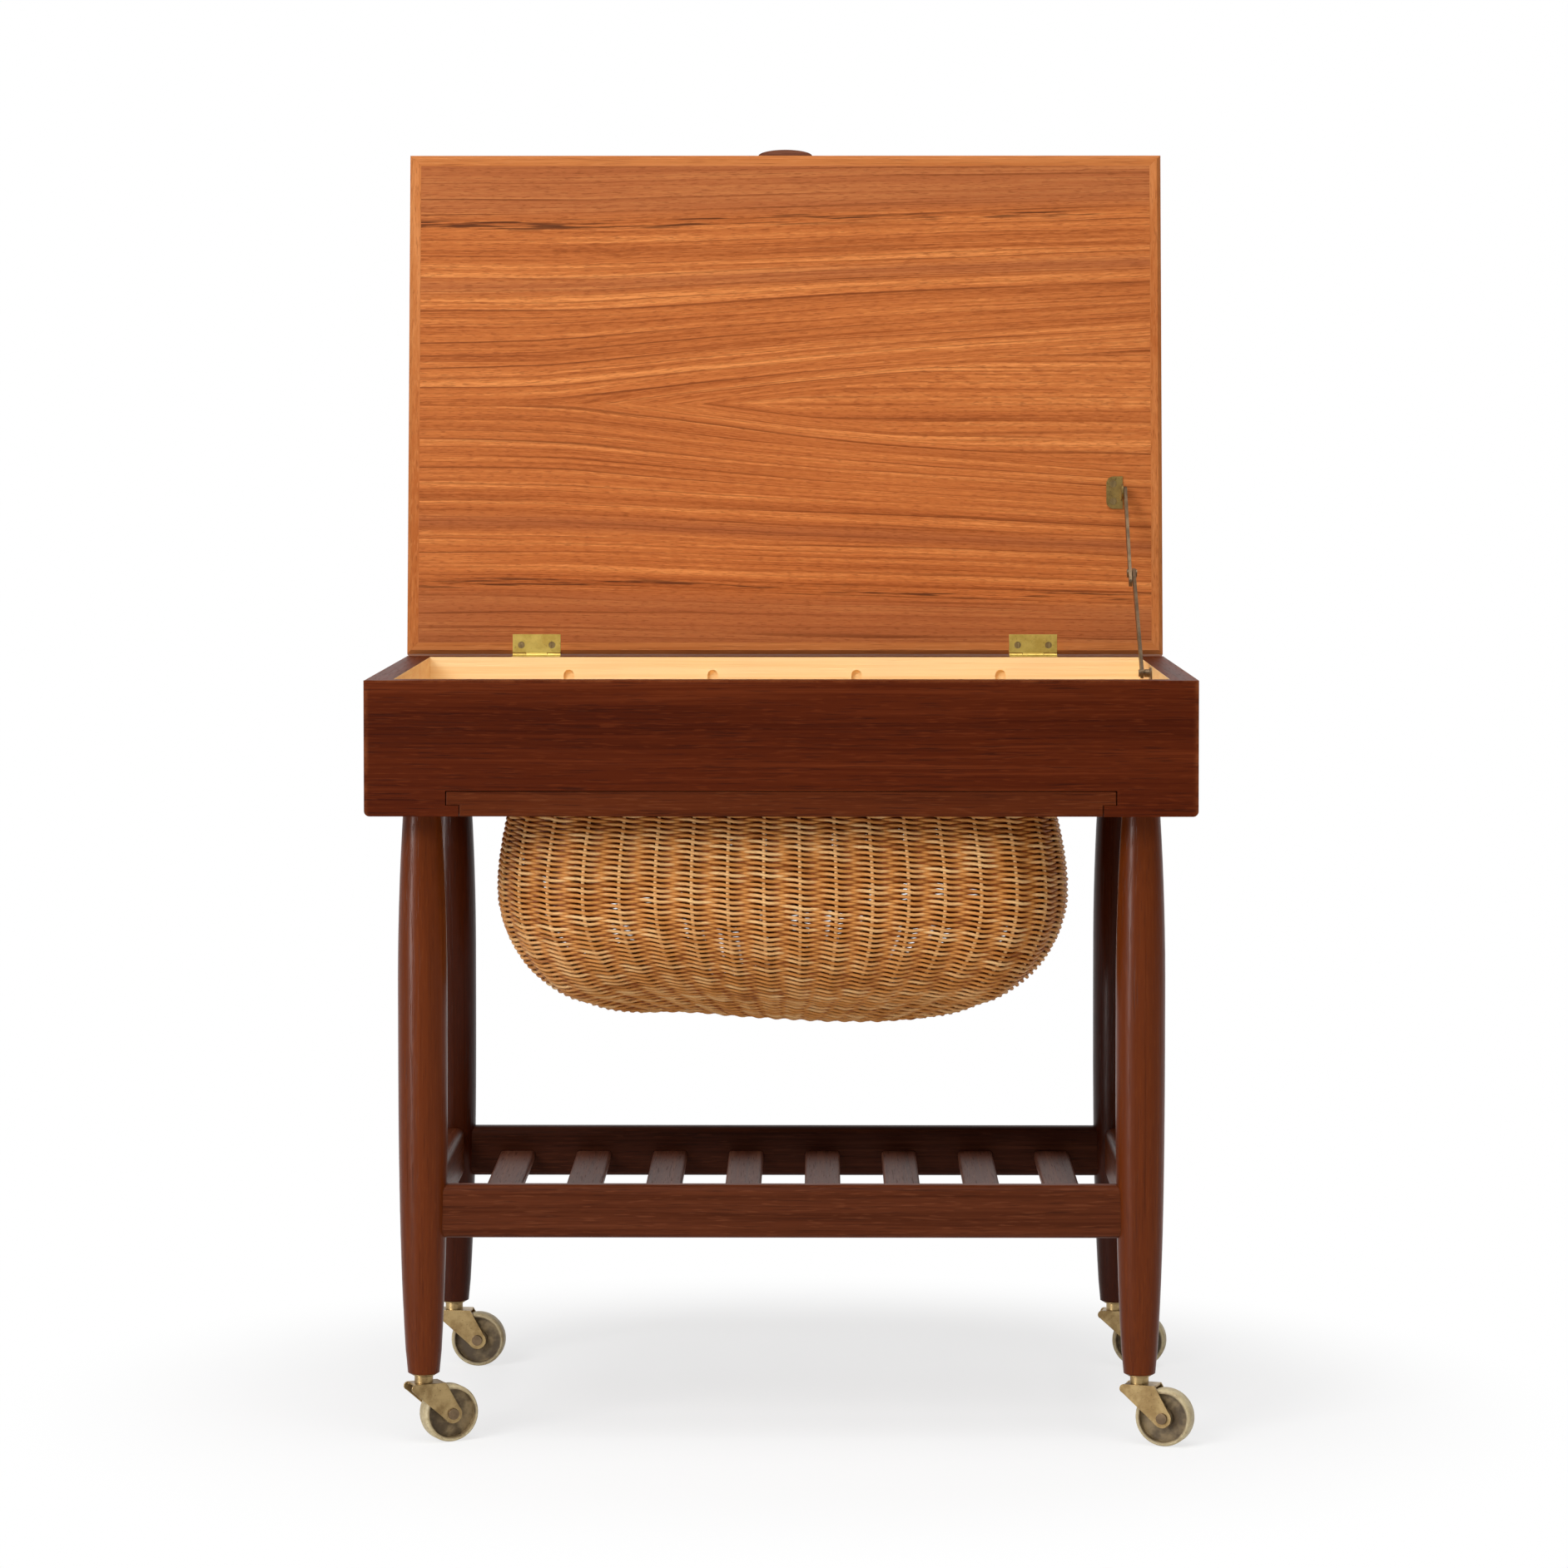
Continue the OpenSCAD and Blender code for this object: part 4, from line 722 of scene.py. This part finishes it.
def twinedTree():  # strands that twist round each other between the stakes and climb as one spiral
    look = weaveLook
    tree, bench, given = geometryTree("twined rows", {
        "Rows": "Int", "First Row": "Int", "Row Count": "Int", "Strands": "Int", "Stakes": "Int",
        "Steps": "Int", "Sides": "Int", "Radius": "Float", "In And Out": "Float", "Up And Down": "Float",
        "Slant": "Float", "Lag": "Float", "Tightness": "Float", "Unevenness": "Float", "Widen From": "Float",
        "Widening": "Float", "Calm": "Float", "Core Width": "Float", "Core Depth": "Float",
        "Corner Ease": "Float", "Material": "Material",
    })
    profile = bench.add("GeometryNodeMeshToCurve", None, {"Mesh": given["Geometry"]})
    rowSteps = given["Stakes"] * given["Steps"]
    lines, number, step = straightStrands(bench, given["Strands"], rowSteps * given["Row Count"] + 1.0)
    along = step / rowSteps + given["First Row"]
    share = along / given["Rows"]
    low = (share - given["Widen From"]).least(0.0)
    lowest = 1 - given["Widen From"]
    factor = (share + low * low * given["Widening"]) / (1 + lowest * lowest * given["Widening"])
    place, way = bench.add(
        "GeometryNodeSampleCurve", {"mode": "FACTOR"},
        {"Curves": profile, "Factor": factor}, ("Position", "Tangent"),
    )
    reach, height = bench.split(place)[::2]
    wayOut, wayDown = bench.split(way)[::2]
    px, py, nx, ny = planPoint(bench, given, along, reach)
    turn = (along * given["Stakes"] - 0.5) * math.pi + number * (2 * math.pi) / given["Strands"]
    level, perRow = look["drift"]
    drift = bench.noise(px * level, py * level, along * perRow, 2.0) - 0.5
    level, perRow = look["sway"]
    sway = bench.noise(px * level, py * level, along * perRow + number * look["swayApart"], 1.0) - 0.5
    swing, bulge = turn.sin(), turn.cos()
    outward = bulge * abs(bulge) ** given["Tightness"] * given["In And Out"]
    outward = outward * (1 + drift * look["driftBulge"])
    outward = outward * (1 - factor.ease(*look["calmFrom"]) * given["Calm"])
    onward = swing / (swing * swing + given["Lag"]).root() * given["Up And Down"]
    onward = onward + bulge * given["Slant"] + (drift * look["driftShare"] + sway) * given["Unevenness"]
    out = onward * wayOut - outward * wayDown
    spot = bench.vector(px + nx * out, py + ny * out, height + outward * wayOut + onward * wayDown)
    lines = bench.add("GeometryNodeSetPosition", None, {"Geometry": lines, "Position": spot})
    tone = bench.noise(along * given["Stakes"] * look["toneRun"], number * look["toneApart"], 0.5, 1.0)
    tone = tone * look["toneRange"] + look["toneShift"]
    tone = tone - (1 - bulge.ease(*look["shownFrom"])) * look["hiddenShade"]
    closeTree(bench, strandTube(bench, given, lines, tone), given["Material"])
    return tree


def stakeTree():
    look = weaveLook
    tree, bench, given = geometryTree("stakes", {
        "Stakes": "Int", "Steps": "Int", "Sides": "Int", "Radius": "Float", "Forward": "Float",
        "Core Width": "Float", "Core Depth": "Float", "Corner Ease": "Float", "Seed": "Int",
        "Material": "Material",
    })
    profile = bench.add("GeometryNodeMeshToCurve", None, {"Mesh": given["Geometry"]})
    lines, number, step = straightStrands(bench, given["Stakes"], given["Steps"])
    factor = step / (given["Steps"] - 1.0)
    place, way = bench.add(
        "GeometryNodeSampleCurve", {"mode": "FACTOR"},
        {"Curves": profile, "Factor": factor}, ("Position", "Tangent"),
    )
    reach, height = bench.split(place)[::2]
    wayOut, wayDown = bench.split(way)[::2]
    px, py, nx, ny = planPoint(bench, given, (number + 0.5) / given["Stakes"], reach)
    forward = given["Forward"] * (1 - factor.ease(*look["sinkFrom"]) * look["sinking"])
    out = wayDown * forward * -1.0
    spot = bench.vector(px + nx * out, py + ny * out, height + wayOut * forward)
    lines = bench.add("GeometryNodeSetPosition", None, {"Geometry": lines, "Position": spot})
    tone = chance(bench, *look["stakeTone"], number, given["Seed"])
    closeTree(bench, strandTube(bench, given, lines, tone), given["Material"])
    return tree


def matTree():  # the middle of the bottom: sticks along the width, twined across
    look = matLook
    tree, bench, given = geometryTree("base mat", {
        "Sticks": "Int", "Weavers": "Int", "Steps": "Int", "Sides": "Int", "Radius": "Float",
        "Stick Radius": "Float", "In And Out": "Float", "Up And Down": "Float", "Core Width": "Float",
        "Core Depth": "Float", "Mat Width": "Float", "Mat Depth": "Float", "Height": "Float",
        "Bowl Run": "Float", "Bowl Depth": "Float", "Seed": "Int", "Material": "Material",
    })

    def bowlHeight(x, y):
        edge = (given["Core Width"] * 0.5 - abs(x)).most(given["Core Depth"] * 0.5 - abs(y))
        slack = 1 - (edge / given["Bowl Run"]).most(1.0)
        return given["Height"] + slack * slack * given["Bowl Depth"]

    stickPitch = given["Mat Depth"] / given["Sticks"]
    sticks, number, step = straightStrands(bench, given["Sticks"], look["stickPoints"])
    x = (step / (look["stickPoints"] - 1.0) - 0.5) * given["Mat Width"]
    y = (number + 0.5) * stickPitch - given["Mat Depth"] * 0.5
    spot = bench.vector(x, y, bowlHeight(x, y))
    sticks = bench.add("GeometryNodeSetPosition", None, {"Geometry": sticks, "Position": spot})
    sticks = strandTube(bench, dict(given, Radius=given["Stick Radius"]), sticks, look["stickTone"])
    count = given["Sticks"] * given["Steps"]
    strands, number, step = straightStrands(bench, given["Weavers"] * 2.0, count)
    weaver = (number * 0.5 + 0.001).floor()  # two strands each; the rest keeps the rounding safe
    share = step / (count - 1.0)
    turn = (share * given["Sticks"] - 0.5) * math.pi + (number % 2.0) * math.pi
    turn = turn + chance(bench, -look["turnSpread"], look["turnSpread"], weaver, given["Seed"])
    x = (weaver + 0.5) * given["Mat Width"] / given["Weavers"] - given["Mat Width"] * 0.5
    x = x + turn.sin() * given["Up And Down"]
    y = (share - 0.5) * given["Mat Depth"]
    spot = bench.vector(x, y, bowlHeight(x, y) + turn.cos() * given["In And Out"])
    strands = bench.add("GeometryNodeSetPosition", None, {"Geometry": strands, "Position": spot})
    strands = strandTube(bench, given, strands, chance(bench, 0.0, 1.0, number, given["Seed"]))
    both = bench.add("GeometryNodeJoinGeometry", None, {"Geometry": [strands, sticks]})
    closeTree(bench, both, given["Material"])
    return tree


settling = {  # how the bottom hangs: places along the width, the lift there and the lean to the right
    "places": (-0.145, -0.122, -0.095, -0.07, -0.03, 0.036, 0.08, 0.1, 0.122, 0.14),
    "lifts": (0.0, 0.0055, 0.0075, 0.0075, 0.0036, 0.0, 0.0003, 0.0032, 0.0032, 0.0),
    "lean": 0.0015,
    "softness": 0.012,  # the lift is averaged over this much to either side
}


def settled(points):
    top, bottom = basketShape["topZ"], basketSize["bottomZ"]
    depth = np.clip((top - points[:, 2]) / (top - bottom), 0, 1)
    steps = (-settling["softness"], 0.0, settling["softness"])
    lift = sum(np.interp(points[:, 0] + step, settling["places"], settling["lifts"]) for step in steps)
    points[:, 2] += depth ** 2 * lift / len(steps)
    points[:, 0] += depth * settling["lean"]
    return points


def wovenPiece(name, tree, outline, values):
    mesh = bpy.data.meshes.new(name + "_line")
    mesh.from_pydata(outline, [(i, i + 1) for i in range(len(outline) - 1)], [])
    maker = bpy.data.objects.new(name + "_line", mesh)
    scene.collection.objects.link(maker)
    modifier = maker.modifiers.new(name, "NODES")
    modifier.node_group = tree
    for item in tree.interface.items_tree:
        if item.in_out == "INPUT" and item.name in values:
            modifier[item.identifier] = values[item.name]
    view = bpy.context.evaluated_depsgraph_get()
    made = bpy.data.meshes.new_from_object(maker.evaluated_get(view))
    bpy.data.objects.remove(maker)
    points = np.empty(len(made.vertices) * 3)
    made.vertices.foreach_get("co", points)
    points = settled(points.reshape(-1, 3))
    points[:, 1] += basketSize["middleY"]
    made.vertices.foreach_set("co", points.ravel())
    made.name = name
    piece = bpy.data.objects.new(name, made)
    scene.collection.objects.link(piece)
    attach(piece, "basket_drawer")
    print(name, len(made.polygons), "faces")
    return piece


profile = basketProfile()
profileLine = [(reach, 0.0, height) for reach, height in profile]
profileLength = float(np.sum(np.linalg.norm(np.diff(profile, axis=0), axis=1)))
spread = 1 + weaveLook["widening"] * (1 - weaveLook["widenFrom"]) ** 2
rows = round(profileLength / weaveLook["rowPitch"] / spread)
plan = {
    "Core Width": 2 * basketSize["coreX"], "Core Depth": 2 * basketSize["coreY"],
    "Corner Ease": basketShape["cornerEase"], "Sides": weaveLook["sides"], "Seed": weaveLook["seed"],
    "Material": cane,
}
twine = dict(plan, **{
    "Rows": rows, "Strands": 2, "Stakes": weaveLook["stakes"], "Steps": weaveLook["stepsPerStake"],
    "Radius": weaveLook["strandRadius"], "In And Out": weaveLook["inAndOut"],
    "Up And Down": weaveLook["upAndDown"], "Slant": weaveLook["slant"], "Lag": weaveLook["lag"],
    "Tightness": weaveLook["tightness"], "Unevenness": weaveLook["unevenness"],
    "Widen From": weaveLook["widenFrom"], "Widening": weaveLook["widening"], "Calm": weaveLook["calmBottom"],
})
rowTree = twinedTree()
third = rows // 3
rowBands = {  # first row and row count
    "basket_wall_upper": (0, third), "basket_wall_lower": (third, third),
    "basket_bowl": (2 * third, rows - 2 * third),
}
wovenPieces = [
    wovenPiece(name, rowTree, profileLine, dict(twine, **{"First Row": first, "Row Count": count}))
    for name, (first, count) in rowBands.items()
]
wovenPieces.append(wovenPiece("basket_stakes", stakeTree(), profileLine, dict(
    plan, Stakes=weaveLook["stakes"], Steps=weaveLook["stakeSteps"], Radius=weaveLook["stakeRadius"],
    Forward=weaveLook["stakeForward"],
)))
borderLine = [(borderLook["reach"], 0.0, borderLook[height]) for height in ("topZ", "bottomZ")]
wovenPieces.append(wovenPiece("basket_border", rowTree, borderLine, dict(twine, **{
    "Rows": 1, "First Row": 0, "Row Count": 1, "Strands": borderLook["strands"], "Steps": borderLook["steps"],
    "Radius": borderLook["radius"], "In And Out": borderLook["inAndOut"],
    "Up And Down": borderLook["upAndDown"], "Unevenness": borderLook["unevenness"], "Lag": borderLook["lag"],
    "Slant": 0.0, "Tightness": 0.0, "Widening": 0.0, "Calm": 0.0,
})))
matInset = basketShape["twinedRun"] - matLook["overlap"]
wovenPieces.append(wovenPiece("basket_base", matTree(), profileLine[:2], dict(plan, **{
    "Sticks": matLook["sticks"], "Weavers": matLook["weavers"], "Steps": matLook["steps"],
    "Radius": weaveLook["strandRadius"], "Stick Radius": matLook["stickRadius"],
    "In And Out": matLook["inAndOut"], "Up And Down": matLook["upAndDown"],
    "Height": basketSize["bottomZ"] + basketShape["inset"] + matLook["lift"],
    "Mat Width": 2 * (basketSize["coreX"] - matInset), "Mat Depth": 2 * (basketSize["coreY"] - matInset),
    "Bowl Run": basketShape["bowlRun"], "Bowl Depth": basketShape["wallEndZ"] - basketSize["bottomZ"],
})))
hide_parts("basket")
print("basket woven:", rows, "rows")


# floor, light and camera

floorLook = {
    "size": 30.0, "white": 0.93,
    "shadowReach": 0.34, "fade": 0.62,  # the shadow fades out between these distances, metres
    "plain": 0.72,                      # how much of the shadow plain white hides
}
lightLook = {
    "worldLevel": 0.43,
    "leftShade": 0.5, "rightShade": 0.85,  # how much darker the studio is at the sides
    "leftFrom": (0.2, 0.9), "rightFrom": (0.0, 0.8),
    "frontLevel": 0.12,     # what gloss sees on the camera's side of the studio
    "backFrom": (-0.3, 0.6),
    "lamps": [  # name, place, aim, size, watts
        ("left_softbox", (-2.1, -3.0, 2.4), (0, 0, 0.55), 1.6, 78.0),
        ("right_softbox", (2.0, -3.0, 1.7), (0, 0, 0.5), 1.6, 4.0),
        ("top_softbox", (0.0, -1.0, 3.4), (0, 0, 0.4), 2.2, 58.0),
    ],
    "strip": {  # shows in gloss alone, as the streak on the turned legs
        "place": (-2.3, -1.76, 0.5), "aim": (0, 0, 0.3), "width": 0.45, "height": 1.3, "watts": 64.0,
    },
}


def makeFloor():
    half = floorLook["size"] / 2
    square = [(-half, -half, 0), (half, -half, 0), (half, half, 0), (-half, half, 0)]
    mesh = bpy.data.meshes.new("studio_floor")
    mesh.from_pydata(square, [], [(0, 1, 2, 3)])
    material, bench, shader = newFinish("floor_white", {"Roughness": 0.9, "Specular IOR Level": 0.0})
    white = floorLook["white"]
    shader.inputs["Base Color"].default_value = (white, white, white, 1.0)
    x, y = bench.split(bench.add("ShaderNodeTexCoord", out="Object"))[:2]
    away = (x * x + y * y).root().ease(floorLook["shadowReach"], floorLook["fade"])
    camera, glossy, through = bench.add(
        "ShaderNodeLightPath", out=("Is Camera Ray", "Is Glossy Ray", "Is Transmission Ray"),
    )
    seen = (camera + glossy + through).most(1.0) * (away * (1 - floorLook["plain"]) + floorLook["plain"])
    glow = bench.add("ShaderNodeEmission", None, {"Color": (1, 1, 1, 1), "Strength": 1.0})
    mix = bench.add("ShaderNodeMixShader", None, {0: seen, 1: Wire(bench, shader.outputs[0]), 2: glow})
    outlet = material.node_tree.nodes["Material Output"]
    bench.join(outlet.inputs["Surface"], mix)
    mesh.materials.append(material)
    floor = bpy.data.objects.new("studio_floor", mesh)
    scene.collection.objects.link(floor)


def makeWorld():
    world = bpy.data.worlds.new("studio")
    scene.world = world
    world.use_nodes = True
    bench = Bench(world.node_tree)
    camera, glossy, through = bench.add(
        "ShaderNodeLightPath", out=("Is Camera Ray", "Is Glossy Ray", "Is Transmission Ray"),
    )
    x, y = bench.split(bench.add("ShaderNodeTexCoord", out="Generated"))[:2]
    front = lightLook["frontLevel"]
    mirrored = y.ease(*lightLook["backFrom"]) * (1 - front) + front
    shade = x.ease(*lightLook["rightFrom"]) * lightLook["rightShade"]
    shade = shade + (x * -1.0).ease(*lightLook["leftFrom"]) * lightLook["leftShade"]
    ambient = (1 - shade) * lightLook["worldLevel"]
    mirrored = mirrored * glossy + (1 - glossy)
    shown = (camera + glossy + through).most(1.0)
    soft = bench.add("ShaderNodeBackground", None, {"Color": (1, 1, 1, 1), "Strength": ambient})
    plain = bench.add("ShaderNodeBackground", None, {"Color": (1, 1, 1, 1), "Strength": mirrored})
    mix = bench.add("ShaderNodeMixShader", None, {0: shown, 1: soft, 2: plain})
    bench.join(world.node_tree.nodes["World Output"].inputs["Surface"], mix)


def standLamp(name, place, aim, watts):
    lamp = bpy.data.lights.new(name, "AREA")
    lamp.energy = watts
    stand = bpy.data.objects.new(name, lamp)
    stand.location = place
    stand.rotation_euler = (Vector(aim) - Vector(place)).to_track_quat("-Z", "Y").to_euler()
    scene.collection.objects.link(stand)
    return stand, lamp


def makeLamps():
    for name, place, aim, size, watts in lightLook["lamps"]:
        stand, lamp = standLamp(name, place, aim, watts)
        lamp.size = size
    strip = lightLook["strip"]
    stand, lamp = standLamp("strip_light", strip["place"], strip["aim"], strip["watts"])
    lamp.shape, lamp.size, lamp.size_y = "RECTANGLE", strip["width"], strip["height"]
    stand.visible_diffuse = False
    stand.visible_camera = False


cameraLook = {  # metres, degrees and millimetres
    "place": (0.0282, -4.0015, 0.7437), "tilt": 2.544, "turn": 0.393,
    "lens": 121.73, "sensor": 36.0, "shift": -0.08,
}


def makeCamera():
    camera = bpy.data.cameras.new("photo_camera")
    camera.lens, camera.sensor_width = cameraLook["lens"], cameraLook["sensor"]
    camera.sensor_fit = "HORIZONTAL"
    camera.shift_y = cameraLook["shift"]
    stand = bpy.data.objects.new("photo_camera", camera)
    stand.location = cameraLook["place"]
    stand.rotation_euler = (math.radians(90 - cameraLook["tilt"]), 0.0, math.radians(cameraLook["turn"]))
    scene.collection.objects.link(stand)
    scene.camera = stand


makeFloor()
makeWorld()
makeLamps()
makeCamera()
print("floor, light and camera placed")
